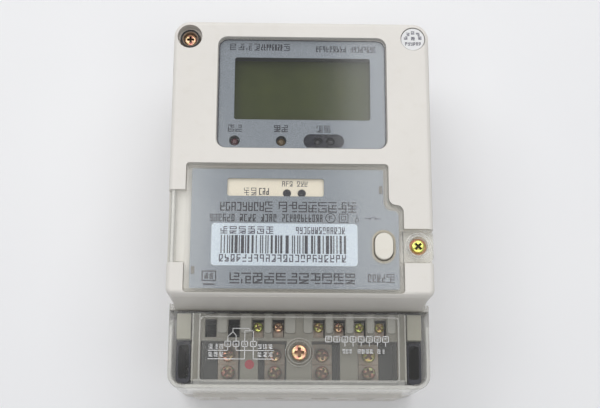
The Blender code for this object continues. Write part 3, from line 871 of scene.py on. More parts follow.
def volume_of(mesh: bpy.types.Mesh) -> float:
    """The volume that a closed mesh holds, in cubic metres.

    Args:
        mesh: A closed mesh.

    Returns:
        Its volume in cubic metres.
    """
    solid = bmesh.new()
    solid.from_mesh(mesh)
    bmesh.ops.triangulate(solid, faces=solid.faces[:])
    volume = solid.calc_volume()
    solid.free()
    return volume


def inside_of(mesh: bpy.types.Mesh, outer: bpy.types.Mesh) -> bool:
    """True if no vertex of mesh lies outside the other mesh's box.

    Args:
        mesh: The changed mesh.
        outer: The mesh that it was made from.

    Returns:
        True if it stays within the other.
    """
    slack = 0.01 * MM
    for axis in range(3):
        values = [v.co[axis] for v in mesh.vertices]
        limits = [v.co[axis] for v in outer.vertices]
        if min(values) < min(limits) - slack or max(values) > max(limits) + slack:
            return False
    return True


def smooth(obj: bpy.types.Object, angle: float = 38.0) -> bpy.types.Object:
    """Shades obj smooth up to an angle in degrees, and keeps its large faces flat.

    Args:
        obj: The piece.
        angle: Edges sharper than this stay sharp, in degrees.

    Returns:
        The piece.
    """
    activate(obj)
    bpy.ops.object.shade_smooth_by_angle(angle=math.radians(angle))
    step = obj.modifiers.new("flat faces", "WEIGHTED_NORMAL")
    step.mode = "FACE_AREA"
    step.weight = 80
    step.keep_sharp = True
    bpy.ops.object.modifier_apply(modifier=step.name)
    return obj


def recast(node: str, name: str) -> bpy.types.Object:
    """A clean copy of a CAD node's mesh, ready to be detailed.

    Args:
        node: The CAD node.
        name: The new piece's name.

    Returns:
        The piece.
    """
    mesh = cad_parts[node].data.copy()
    mesh.materials.clear()
    mesh.name = name
    obj = bpy.data.objects.new(name, mesh)
    bpy.context.scene.collection.objects.link(obj)
    with editing(obj, "VERT"):
        bpy.ops.mesh.customdata_custom_splitnormals_clear()
        bpy.ops.mesh.select_all(action="SELECT")
        bpy.ops.mesh.remove_doubles(threshold=2e-6)
        bpy.ops.mesh.dissolve_limited(angle_limit=math.radians(0.6))
    return obj


def stamped(name: str, master: bpy.types.Object, places: Sequence[Matrix]) -> bpy.types.Object:
    """Copies a small master shape to many places, as one piece.

    Args:
        name: The new piece's name.
        master: The shape, which is used up.
        places: Where each copy goes, in metres.

    Returns:
        The piece.
    """
    gathered = bmesh.new()
    for place in places:
        start = len(gathered.verts)
        gathered.from_mesh(master.data)
        gathered.verts.ensure_lookup_table()
        bmesh.ops.transform(gathered, matrix=place, verts=gathered.verts[start:])
    mesh = bpy.data.meshes.new(name)
    gathered.to_mesh(mesh)
    gathered.free()
    spent = master.data
    bpy.data.objects.remove(master, do_unlink=True)
    bpy.data.meshes.remove(spent)
    obj = bpy.data.objects.new(name, mesh)
    bpy.context.scene.collection.objects.link(obj)
    return obj


def copied(
    source: bpy.types.Object, name: str, shift: Sequence[float], turn: float = 0.0
) -> bpy.types.Object:
    """A copy of a piece with a mesh of its own, turned about its own middle and moved.

    Args:
        source: The piece.
        name: The copy's name.
        shift: How far it moves, in millimetres.
        turn: How far it turns about Z, in degrees.

    Returns:
        The copy.
    """
    mesh = source.data.copy()
    mesh.name = name
    middle = sum((v.co for v in mesh.vertices), Vector()) / len(mesh.vertices)
    spin = Matrix.Rotation(math.radians(turn), 4, "Z")
    spin = Matrix.Translation(middle) @ spin @ Matrix.Translation(-middle)
    mesh.transform(Matrix.Translation(Vector(shift) * MM) @ spin)
    obj = bpy.data.objects.new(name, mesh)
    bpy.context.scene.collection.objects.link(obj)
    return obj


def dress(
    obj: bpy.types.Object,
    finish: bpy.types.Material,
    body: str,
    slot: str,
    *nodes: str,
) -> bpy.types.Object:
    """Gives a new piece its finish, its body and the CAD nodes that it stands for.

    Args:
        obj: The piece.
        finish: Its material.
        body: The body that it rides on.
        slot: The record's material slot; not used.
        *nodes: The CAD nodes that it replaces.

    Returns:
        The piece.
    """
    obj.data.materials.clear()
    obj.data.materials.append(finish)
    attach(obj, body)
    if nodes:
        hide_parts(*nodes)
    log.info("%s rides on %s: %d faces", obj.name, body, len(obj.data.polygons))
    return obj


def paint(node: str, finish: bpy.types.Material) -> None:
    """Gives a CAD node a better material.

    Args:
        node: The CAD node.
        finish: Its new material.
    """
    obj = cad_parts[node]
    for held in obj.material_slots:
        held.material = finish
    log.info("%s keeps its CAD shape", node)


def spot_of(node: str) -> tuple[Vector, Vector]:
    """A CAD node's lowest and highest corner, in millimetres."""
    low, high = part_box(node)
    return low / MM, high / MM


def middle_of(node: str) -> tuple[float, float]:
    """The X and Y of a CAD node's middle, in millimetres."""
    low, high = spot_of(node)
    return (low.x + high.x) / 2, (low.y + high.y) / 2


# ------------------------------------------------------------------ printing
class Script(Enum):
    """How dense the strokes of a printed line are."""

    PLAIN = "plain"
    DENSE = "dense"


@dataclass
class Print:
    """Flat marks of ink, gathered into one piece.

    Args:
        name: The piece's name.
        z: The height of the surface that they are printed on.
        thickness: How thick the ink is.
        seed: Fixes the strokes of its stand-in lines.
    """

    name: str
    z: float
    thickness: float = 0.04
    seed: int = 1
    marks: list[Matrix] = field(default_factory=list)

    def __post_init__(self) -> None:
        """Starts the print's own random numbers."""
        self.dice = random.Random(self.seed)

    def bar(self, x0: float, x1: float, y0: float, y1: float) -> None:
        """Adds a filled rectangle.

        Args:
            x0: Its left side.
            x1: Its right side.
            y0: Its foot.
            y1: Its top.
        """
        middle = ((x0 + x1) / 2 * MM, (y0 + y1) / 2 * MM, (self.z + self.thickness / 2) * MM)
        size = (abs(x1 - x0) * MM, abs(y1 - y0) * MM, self.thickness * MM, 1)
        self.marks.append(Matrix.Translation(middle) @ Matrix.Diagonal(size))

    def line(self, a: Sequence[float], b: Sequence[float], width: float) -> None:
        """Adds a straight line with square ends.

        Args:
            a: Its start in X and Y.
            b: Its end.
            width: Its width.
        """
        run = Vector((b[0] - a[0], b[1] - a[1]))
        middle = ((a[0] + b[0]) / 2 * MM, (a[1] + b[1]) / 2 * MM, (self.z + self.thickness / 2) * MM)
        size = ((run.length + width) * MM, width * MM, self.thickness * MM, 1)
        turn = Matrix.Rotation(math.atan2(run.y, run.x), 4, "Z")
        self.marks.append(Matrix.Translation(middle) @ turn @ Matrix.Diagonal(size))

    def path(self, points: Sequence[Sequence[float]], width: float) -> None:
        """Adds a line through several points."""
        for a, b in zip(points, points[1:]):
            self.line(a, b, width)

    def frame(self, x0: float, x1: float, y0: float, y1: float, width: float) -> None:
        """Adds the outline of a rectangle."""
        self.path(((x0, y0), (x1, y0), (x1, y1), (x0, y1), (x0, y0)), width)

    def ring(
        self, x: float, y: float, radius: float, width: float, squash: float = 1.0, sides: int = 24
    ) -> None:
        """Adds the outline of a circle or an oval.

        Args:
            x: Its middle.
            y: Its middle's height.
            radius: Its radius along X.
            width: The width of its line.
            squash: Its radius along Y, as a share of the other.
            sides: How many straight runs it has.
        """
        angles = [2 * math.pi * k / sides for k in range(sides + 1)]
        self.path([(x + radius * math.cos(a), y + squash * radius * math.sin(a)) for a in angles], width)

    def dot(self, x: float, y: float, radius: float) -> None:
        """Adds a filled spot out of crossed bars.

        Args:
            x: Its middle.
            y: Its middle's height.
            radius: Its radius.
        """
        for k in range(6):
            turn = Matrix.Rotation(math.pi * k / 6, 4, "Z")
            size = (2 * radius * MM, 2 * radius * 0.27 * MM, self.thickness * MM, 1)
            middle = (x * MM, y * MM, (self.z + self.thickness / 2) * MM)
            self.marks.append(Matrix.Translation(middle) @ turn @ Matrix.Diagonal(size))

    def glyph(self, x: float, y: float, width: float, height: float, stroke: float, script: Script) -> None:
        """Adds one stand-in character: strokes that spell nothing.

        Args:
            x: Its left side.
            y: Its foot.
            width: Its width.
            height: Its height.
            stroke: The width of its strokes.
            script: How dense it is.
        """
        columns = 2 if script is Script.PLAIN else 3
        rows = 3 if script is Script.PLAIN else 4
        xs = [x + stroke / 2 + (width - stroke) * k / (columns - 1) for k in range(columns)]
        ys = [y + stroke / 2 + (height - stroke) * k / (rows - 1) for k in range(rows)]
        level, tall = (2, 3) if script is Script.PLAIN else (4, 3)
        for k in self.dice.sample(range(rows), min(level, rows)):
            start = 0 if self.dice.random() < 0.7 else 1
            self.line((xs[min(start, columns - 2)], ys[k]), (xs[-1], ys[k]), stroke)
        for _ in range(tall):
            c = self.dice.randrange(columns)
            r = self.dice.randrange(rows - 1)
            end = min(rows - 1, r + self.dice.choice((1, 2)))
            self.line((xs[c], ys[r]), (xs[c], ys[end]), stroke)
        if self.dice.random() < 0.35:
            self.line((xs[0], ys[0]), (xs[-1], ys[1]), stroke)

    def words(
        self,
        x0: float,
        x1: float,
        y0: float,
        y1: float,
        count: int,
        stroke: float,
        script: Script = Script.PLAIN,
        gap: float = 0.28,
    ) -> None:
        """Adds a row of stand-in characters.

        Args:
            x0: The row's left end.
            x1: Its right end.
            y0: Its foot.
            y1: Its top.
            count: How many characters it has.
            stroke: The width of their strokes.
            script: How dense they are.
            gap: The share of each character's room that is left empty.
        """
        room = (x1 - x0) / (count - gap)
        for k in range(count):
            self.glyph(x0 + room * k, y0, room * (1 - gap), y1 - y0, stroke, script)

    def bars(self, x0: float, x1: float, y0: float, y1: float, modules: int) -> None:
        """Adds a band of upright bars of mixed widths.

        Args:
            x0: The band's left end.
            x1: Its right end.
            y0: Its foot.
            y1: Its top.
            modules: How many of the narrowest bars would fill it.
        """
        unit = (x1 - x0) / modules
        at = 0
        while at < modules:
            wide = self.dice.choice((1, 1, 1, 2, 2, 3))
            wide = min(wide, modules - at)
            self.bar(x0 + at * unit, x0 + (at + wide) * unit, y0, y1)
            at += wide + self.dice.choice((1, 1, 2, 2, 3))

    def make(self, finish: bpy.types.Material, body: str, slot: str) -> bpy.types.Object:
        """Gathers the marks into one piece.

        Args:
            finish: The ink.
            body: The body that it rides on.
            slot: The record's material slot.

        Returns:
            The piece.
        """
        clear_selection()
        bpy.ops.mesh.primitive_cube_add(size=1)
        return dress(stamped(self.name, bpy.context.object, self.marks), finish, body, slot)


# ------------------------------------------------------------------ screws
@dataclass
class CrossScrew:
    """A pan-head screw with a cross recess.

    Args:
        head: The head's radius.
        rise: The head's height.
        shank: The thread's radius.
        length: How far the thread reaches under the head.
        recess: The half length of the recess's arms.
        collar: How far a washer face stands out under the head; not used.
    """

    head: float
    rise: float
    shank: float
    length: float
    recess: float
    collar: float = 0.0

    def build(self, name: str, centre: Sequence[float], top: float) -> bpy.types.Object:
        """Models the screw upright.

        Args:
            name: The piece's name.
            centre: Its axis in X and Y.
            top: The height of its head's top.

        Returns:
            The piece.
        """
        seat = top - self.rise
        head = [
            (0.0, top),
            (self.head * 0.5, top - self.rise * 0.02),
            (self.head * 0.82, top - self.rise * 0.07),
            (self.head * 0.95, top - self.rise * 0.17),
            (self.head, top - self.rise * 0.34),
            (self.head, seat + 0.08),
            (self.head - 0.08, seat),
            (self.shank, seat),
        ]
        pitch = 0.8 if self.shank > 1.5 else 0.6
        turns = max(2, int((self.length - 1.2) / pitch))
        thread = []
        for k in range(turns):
            z = seat - 0.4 - k * pitch
            thread += [(self.shank, z), (self.shank, z - pitch * 0.2), (self.shank * 0.86, z - pitch * 0.6)]
        tip = seat - self.length
        end = [(self.shank * 0.86, tip + 0.5), (self.shank * 0.55, tip), (0.0, tip)]
        piece = lathe(name, centre, head + thread + end, 32)
        arms = []
        for turn in (0, 90):
            arm = slab(
                "arm",
                (centre[0] - self.recess, centre[1] - self.head * 0.19, top - self.rise * 0.8),
                (centre[0] + self.recess, centre[1] + self.head * 0.19, top + 1),
            )
            if turn:
                activate(arm)
                arm.data.transform(
                    Matrix.Translation((centre[0] * MM, centre[1] * MM, 0))
                    @ Matrix.Rotation(math.radians(turn), 4, "Z")
                    @ Matrix.Translation((-centre[0] * MM, -centre[1] * MM, 0))
                )
            arms.append(arm)
        hub = lathe(
            "hub",
            centre,
            [
                (0, top + 1),
                (self.head * 0.34, top + 1),
                (self.head * 0.22, top - self.rise * 0.6),
                (0, top - self.rise * 0.8),
            ],
            12,
        )
        carve(piece, *arms, hub)
        return smooth(piece, 30)

    def paint_recess_shade(
        self, piece: bpy.types.Object, centre: Sequence[float], top: float, finish: bpy.types.Material
    ) -> None:
        """Gives the recess's inner faces a darker finish: painted shade in the recess.

        Args:
            piece: The finished screw.
            centre: Its axis in X and Y.
            top: The height of its head's top.
            finish: The darker finish, which paints the recess's shade.
        """
        piece.data.materials.append(finish)
        axis = Vector((centre[0], centre[1])) * MM
        for face in piece.data.polygons:
            away = (face.center.xy - axis).length
            deep = (top * MM - face.center.z) / (self.rise * MM)
            if away < self.recess * MM * 1.01 and 0.12 < deep < 0.92:
                face.material_index = 1


# ------------------------------------------------------------------ sub-assemblies
@dataclass
class Casing:
    """The ivory cover, the rear base and what seals them.

    Args:
        edge: The rounding of the cover's sharp edges.
        seal_inset: How far the gasket lies behind the outer faces.
    """

    palette: Palette
    edge: float = 0.35
    seal_inset: float = 0.9

    def build(self) -> None:
        """Builds the casing's pieces."""
        cover = soften(recast("front_cover", "cover_shell"), self.edge)
        dress(cover, self.palette.ivory, "meter", "ivory_case", "front_cover")
        base = soften(recast("rear_base", "base_shell"), 0.3)
        dress(base, self.palette.ivory, "meter", "ivory_case", "rear_base")
        self.gasket()

    def gasket(self) -> None:
        """The rubber strip in the joint between cover and base."""
        low, high = spot_of("front_cover")
        parting = low.z
        inset = self.seal_inset
        strip = slab(
            "parting_gasket",
            (low.x + inset, -41.0, parting - 0.26),
            (high.x - inset, high.y - inset, parting - 0.04),
            6.0,
        )
        carve(
            strip,
            slab(
                "hole",
                (low.x + inset + 1.2, -39.8, parting - 1),
                (high.x - inset - 1.2, high.y - inset - 1.2, parting + 1),
                5.0,
            ),
        )
        dress(strip, self.palette.gasket, "meter", "black_plastic")


@dataclass
class DisplayUnit:
    """The window, the printed film behind it, the display and its lamps.

    Args:
        aperture: The display's opening in X and Y.
        lamp_y: The height of the row of lamps.
        lamp_x: The two lamps' places.
        infrared: The clear patch over the infrared pair.
        sensor_x: The places of the infrared pair.
        tray: The dark tray's bounds under the lamps.
    """

    palette: Palette
    aperture: tuple[float, float, float, float] = (-29.1, 30.1, 35.3, 63.9)
    lamp_y: float = 25.7
    lamp_x: tuple[float, float] = (-28.7, -8.6)
    infrared: tuple[float, float, float, float] = (1.0, 18.6, 22.5, 28.9)
    sensor_x: tuple[float, float] = (7.3, 12.6)
    tray: tuple[float, float, float, float] = (-34, 33, 23.1, 31.0)

    def build(self) -> None:
        """Builds the display's pieces."""
        low, high = spot_of("display_window")
        pane = soften(recast("display_window", "window_pane"), 0.3)
        dress(pane, self.palette.pane, "meter", "window_plastic", "display_window")
        self.film(low, high)
        self.well()
        self.lamps()
        self.prints(low.z)

    def film(self, low: Vector, high: Vector) -> None:
        """The printed film under the window, open over the display and the lamps.

        Args:
            low: The window's lowest corner.
            high: The window's highest corner.
        """
        film = slab("window_film", (low.x, low.y, low.z - 0.2), (high.x, high.y, low.z - 0.1), 4.0)
        x0, x1, y0, y1 = self.aperture
        carve(film, slab("hole", (x0, y0, low.z - 2), (x1, y1, low.z + 2), 1.0))
        for x in self.lamp_x:
            carve(film, drum("hole", (x, self.lamp_y), 2.3, low.z - 2, low.z + 2))
        x0, x1, y0, y1 = self.infrared
        carve(film, slab("hole", (x0, y0, low.z - 2), (x1, y1, low.z + 2), (y1 - y0) / 2 * 0.99, steps=10))
        dress(film, self.palette.film, "meter", "window_plastic")

    def well(self) -> None:
        """The dark frame round the display and the dark tray under the lamps."""
        x0, x1, y0, y1 = self.aperture
        glass_high = spot_of("lcd_glass")[1]
        top = spot_of("display_window")[0].z - 0.25
        frame_piece = slab(
            "display_well",
            (x0 - 1.6, y0 - 1.6, glass_high.z + 0.15),
            (x1 + 1.6, y1 + 1.6, top),
            0.8,
        )
        carve(frame_piece, slab("hole", (x0 - 0.2, y0 - 0.2, 50), (x1 + 0.2, y1 + 0.2, 80), 0.8))
        dress(soften(frame_piece, 0.15), self.palette.gasket, "meter", "black_plastic")
        paint("lcd_glass", self.palette.lcd)
        paint("lcd_backlight", self.palette.white)
        x0, x1, y0, y1 = self.tray
        tray = slab("lamp_tray", (x0, y0, 60.2), (x1, y1, 61.0), 0.8)
        for node in ("pulse_led", "trip_led", "ir_emitter", "ir_receiver"):
            carve(tray, drum("hole", middle_of(node), 1.3, 50, 70))
        dress(soften(tray, 0.1), self.palette.black, "meter", "black_plastic")

    def lamps(self) -> None:
        """The two indicator lamps and the infrared pair, each a turned lens with a flange."""
        finishes = {
            "pulse_led": (self.palette.red_lens, "red_lens"),
            "trip_led": (self.palette.amber_lens, "yellow_lens"),
            "ir_emitter": (self.palette.ir_lens, "infrared_lens"),
            "ir_receiver": (self.palette.ir_lens, "infrared_lens"),
        }
        for node, (finish, slot) in finishes.items():
            low, high = spot_of(node)
            centre = middle_of(node)
            radius = (high.x - low.x) / 2 - 0.4
            dome = [
                (radius * math.sin(a), high.z - radius + radius * math.cos(a))
                for a in (math.pi / 2 * k / 8 for k in range(9))
            ]
            foot = [
                (radius, low.z + 8.4),
                (radius + 0.35, low.z + 8.3),
                (radius + 0.35, low.z + 7.3),
                (1.0, low.z + 7.2),
                (1.0, low.z),
                (0, low.z),
            ]
            piece = lathe(node + "_lens", centre, dome + foot, 40)
            dress(smooth(piece), finish, "meter", slot, node)

    def prints(self, z: float) -> None:
        """The dark marks on the film, and a dark line round the window's edge: painted shadow of the gap
        round the window.

        Args:
            z: The window's underside.
        """
        ink = Print("window_marks", z - 0.1, 0.03, 11)
        ink.words(-31.4, -25.2, 67.3, 70.3, 2, 0.36, Script.DENSE)
        ink.words(-24.2, -18.4, 67.2, 70.4, 2, 0.34, Script.DENSE)
        ink.words(-17.8, -8.4, 67.3, 70.2, 8, 0.42)
        ink.words(-7.8, -5.2, 67.2, 70.4, 1, 0.34, Script.DENSE, 0)
        ink.words(6.4, 19.6, 66.8, 69.6, 9, 0.40)
        ink.words(21.6, 32.8, 66.8, 69.6, 8, 0.40)
        for x in (-28.6, -8.7, 9.7):
            ink.words(x - 3.0, x + 3.0, 29.7, 32.8, 2, 0.38, Script.DENSE, 0.16)
        dress_marks = ink.make(self.palette.ink, "meter", "window_plastic")
        log.info("%s printed", dress_marks.name)
        # A thin dark line inked under the window's edge: painted shadow of the gap between window and pocket.
        low, high = spot_of("display_window")
        edge = slab(
            "window_edge_shadow",
            (low.x + 0.05, low.y + 0.05, z - 0.09),
            (high.x - 0.05, high.y - 0.05, z - 0.05),
            3.95,
        )
        carve(edge, slab("hole", (low.x + 0.6, low.y + 0.6, z - 1), (high.x - 0.6, high.y - 0.6, z + 1), 3.4))
        dress(edge, self.palette.ink, "meter", "window_plastic")
        x0, x1, y0, y1 = self.infrared
        patch = slab(
            "infrared_filter", (x0 - 0.4, y0 - 0.2, z - 0.5), (x1 + 0.4, y1 + 0.2, z - 0.32), 3.2, steps=8
        )
        for x in self.sensor_x:
            carve(patch, drum("hole", (x, self.lamp_y), 1.9, z - 2, z + 2))
        dress(patch, self.palette.dark_dot, "meter", "infrared_lens")


@dataclass
class FlipDoor:
    """The clear door, the nameplate that it carries and the module behind it.

    Args:
        under: The height just below the door's panel.
        face: The height of the sealing tab's rings.
        catches: The names and the places of the door's two catches.
        tab_radii: The radii of the sealing tab's rings.
        dots_x: The places of the module's two dark dots.
    """

    palette: Palette
    under: float = 69.12
    face: float = 70.68
    catches: tuple[tuple[str, float, float], ...] = (("upper", 34.0, 4.1), ("lower", -45.0, -31.2))
    tab_radii: tuple[float, float] = (4.3, 5.2)
    dots_x: tuple[float, float] = (-5.9, 0.4)

    def build(self) -> None:
        """Builds the door's pieces."""
        door = soften(recast("flip_cover", "door_shell"), 0.28)
        dress(door, self.palette.door, "door", "clear_plastic", "flip_cover")
        plate = soften(recast("nameplate", "nameplate_sheet"), 0.08, 1)
        dress(plate, self.palette.plate, "door", "nameplate_print", "nameplate")
        paint("hinge_pin", self.palette.nickel)
        self.marks()
        self.label()
        self.rings()
        self.module()

    def marks(self) -> None:
        """The rows of stand-in text and the symbols on the nameplate."""
        z = spot_of("nameplate")[1].z
        ink = Print("nameplate_marks", z, 0.05, 23)
        ink.words(-34.2, -15.6, -5.6, -1.7, 8, 0.52, gap=0.2)
        ink.words(-15.2, -12.0, -6.0, -1.4, 1, 0.46, Script.DENSE, 0)
        ink.words(-9.4, 23.6, -6.0, -1.4, 8, 0.5, Script.DENSE, 0.14)
        ink.words(-38.4, -28.0, -10.2, -6.9, 6, 0.44)
        ink.words(-25.8, -19.0, -10.2, -6.9, 4, 0.46)
        ink.words(-16.8, -10.3, -10.2, -6.9, 4, 0.46)
        ink.words(-7.8, 9.2, -10.2, -6.9, 11, 0.42)
        ink.ring(12.6, -8.4, 2.0, 0.34)
        ink.words(11.9, 13.3, -9.4, -7.4, 1, 0.34, gap=0)
        ink.frame(16.3, 20.0, -10.2, -6.6, 0.34)
        ink.frame(17.3, 19.0, -9.2, -7.6, 0.30)
        ink.ring(23.8, -9.3, 0.75, 0.3, sides=14)
        ink.line((23.8, -8.4), (23.8, -6.8), 0.28)
        ink.path(((26.9, -8.5), (29.3, -8.5)), 0.26)
        ink.line((29.3, -8.5), (31.4, -7.5), 0.26)
        ink.path(((31.6, -8.5), (33.9, -8.5)), 0.26)
        ink.dot(29.3, -8.5, 0.42)
        ink.dot(31.6, -8.5, 0.42)
        ink.words(-29.6, 22.8, -36.7, -32.1, 11, 0.58, Script.DENSE, 0.15)
        ink.words(28.2, 35.4, -35.8, -32.4, 4, 0.48)
        ink.words(36.0, 39.4, -36.0, -32.2, 1, 0.42, Script.DENSE, 0)
        ink.make(self.palette.ink, "door", "nameplate_print")
        emblem = Print("nameplate_emblem", z, 0.05, 5)
        emblem.frame(-41.0, -35.4, -35.6, -31.6, 0.5)
        emblem.words(-40.0, -36.4, -34.8, -32.4, 2, 0.46, Script.DENSE)
        emblem.bar(-40.6, -35.8, -37.5, -36.8)
        emblem.make(self.palette.ink, "door", "nameplate_print")

    def label(self) -> None:
        """The pale blue label with its bars."""
        z = spot_of("nameplate")[1].z
        paper = slab("bar_label", (-37.6, -29.1, z + 0.01), (24.0, -10.9, z + 0.1), 1.6, 0.03)
        dress(paper, self.palette.label, "door", "nameplate_print")
        top = z + 0.1
        ink = Print("label_marks", top, 0.04, 31)
        ink.bars(-33.6, 19.1, -23.9, -16.1, 118)
        ink.make(self.palette.ink, "door", "nameplate_print")
        soft = Print("label_text", top, 0.04, 37)
        soft.words(-33.8, -11.6, -15.5, -12.3, 6, 0.4, Script.DENSE, 0.24)
        soft.words(-2.0, 18.6, -15.4, -12.4, 13, 0.38)
        soft.words(-34.2, 19.0, -27.5, -24.3, 22, 0.46, gap=0.32)
        soft.make(self.palette.grey_ink, "door", "nameplate_print")

    def rings(self) -> None:
        """The collar round the key, the rings of the sealing point and the latch marks."""
        x, y = middle_of("page_button")
        foot, head = (x - 5.05, y - 7.25, 68.85), (x + 5.05, y + 7.25, self.under)
        collar = slab("key_collar", foot, head, 5.0, steps=14)
        carve(collar, slab("hole", (x - 4.2, y - 6.2, 60), (x + 4.2, y + 6.2, 80), 4.15, steps=14))
        dress(smooth(collar), self.palette.collar, "door", "ivory_key")
        for name, x, y in self.catches:
            foot, head = (x - 0.75, y - 1.7, 68.82), (x + 0.75, y + 1.7, self.under)
            catch = slab(f"door_catch_{name}", foot, head, 0.3, 0.08)
            dress(smooth(catch), self.palette.catch, "door", "clear_plastic")
        centre = middle_of("flip_cover_screw")
        z = self.face
        for k, radius in enumerate(self.tab_radii):
            outer = radius + 0.3
            profile = [(radius, z), (outer, z), (outer, z - 0.4), (radius, z - 0.4), (radius, z)]
            ring = lathe(f"tab_ring_{k + 1}", centre, profile, 56)
            dress(smooth(ring), self.palette.rib, "door", "clear_plastic")

    def module(self) -> None:
        """The plug-in module, its two dark dots and its mark."""
        case = soften(recast("module_case", "module_shell"), 0.3)
        dress(case, self.palette.ivory_inner, "meter", "ivory_key", "module_case")
        z = spot_of("module_case")[1].z
        for k, x in enumerate(self.dots_x):
            dot = drum(f"module_dot_{k + 1}", (x, 2.6), 1.75, z - 1.15, z - 0.2, 0.3)
            dress(smooth(dot), self.palette.dark_dot, "meter", "black_plastic")
        ink = Print("module_marks", z, 0.04, 41)
        ink.words(-24.2, -19.0, 1.6, 4.9, 2, 0.26, Script.DENSE)
        ink.words(-17.8, -13.6, 1.8, 4.8, 3, 0.40)
        ink.words(-8.0, -3.6, 5.6, 7.9, 3, 0.28)
        ink.words(-1.6, 2.8, 5.6, 7.9, 3, 0.28)
        ink.make(self.palette.ink, "meter", "ivory_key")
        paint("module_pcb", self.palette.board)


@dataclass
class PageKey:
    """The oval key on the right of the door, with its spring and switch."""

    palette: Palette

    def build(self) -> None:
        """Builds the key."""
        key = soften(recast("page_button", "key_cap"), 0.2)
        dress(key, self.palette.key, "button", "ivory_key", "page_button")
        paint("button_spring", self.palette.steel)
        paint("tact_switch", self.palette.black)


@dataclass
class SealPoints:
    """The case screws, their cup and plug, and the door's screw."""

    palette: Palette

    def build(self) -> None:
        """Builds the sealing points."""
        for side in ("left", "right"):
            node = f"case_screw_{side}"
            low, high = spot_of(node)
            centre = middle_of(node)
            head = (high.x - low.x) / 2
            kind = CrossScrew(head, 2.3, 1.4, high.z - 2.3 - low.z, 1.6)
            piece = kind.build(f"seal_screw_{side}", centre, high.z)
            dress(piece, self.palette.rose_zinc, "meter", "yellow_zinc", node)
            kind.paint_recess_shade(piece, centre, high.z, self.palette.recess)
        cup = soften(recast("seal_cup", "cup_ring"), 0.25)
        dress(cup, self.palette.cup, "meter", "black_plastic", "seal_cup")
        low, high = spot_of("seal_cup")
        centre, wide = middle_of("seal_cup"), (high.x - low.x) / 2
        lip = [
            (wide - 0.8, high.z + 0.3),
            (wide - 0.1, high.z + 0.3),
            (wide - 0.1, high.z + 0.02),
            (wide - 0.8, high.z + 0.02),
        ]
        dress(
            smooth(lathe("cup_lip", centre, lip + lip[:1], 56)), self.palette.black, "meter", "black_plastic"
        )
        self.plug()
        self.door_screw()

    def plug(self) -> None:
        """The white plug with its ring of small marks."""
        high = spot_of("seal_plug")[1]
        x, y = middle_of("seal_plug")
        cap = soften(recast("seal_plug", "plug_cap"), 0.2)
        dress(cap, self.palette.white, "meter", "white_plastic", "seal_plug")
        ink = Print("plug_marks", high.z - 0.02, 0.04, 53)
        for k in range(5):
            a = math.radians(180 - 45 * k)
            cx, cy = x + 3.1 * math.cos(a), y + 0.6 + 2.4 * math.sin(a)
            ink.words(cx - 0.75, cx + 0.75, cy - 0.75, cy + 0.75, 1, 0.24, Script.DENSE, 0)
        ink.words(x - 0.8, x + 0.8, y - 0.5, y + 1.1, 1, 0.28, Script.DENSE, 0)
        ink.words(x - 3.4, x + 3.4, y - 3.0, y - 1.4, 6, 0.26)
        ink.make(self.palette.grey_ink, "meter", "white_plastic")

    def door_screw(self) -> None:
        """The door's bright screw and the dark sleeve that it stands in."""
        low, high = spot_of("flip_cover_screw")
        centre = middle_of("flip_cover_screw")
        kind = CrossScrew((high.x - low.x) / 2, 2.0, 1.4, high.z - 2.0 - low.z, 1.75)
        piece = kind.build("door_screw_head", centre, high.z)
        turned = copied(piece, "door_screw_crossed", (0, 0, 0), 45)
        bpy.data.objects.remove(piece, do_unlink=True)
        dress(turned, self.palette.bright_zinc, "door_screw", "yellow_zinc", "flip_cover_screw")
        kind.paint_recess_shade(turned, centre, high.z, self.palette.recess)
        seat = high.z - 2.0
        ring = [
            (2.0, seat - 0.02),
            (3.6, seat - 0.02),
            (3.7, seat - 0.12),
            (3.7, seat - 0.22),
            (2.0, seat - 0.22),
            (2.0, seat - 0.02),
        ]
        washer = lathe("door_screw_washer", centre, ring, 48)
        dress(smooth(washer), self.palette.bronze, "door_screw", "yellow_zinc")


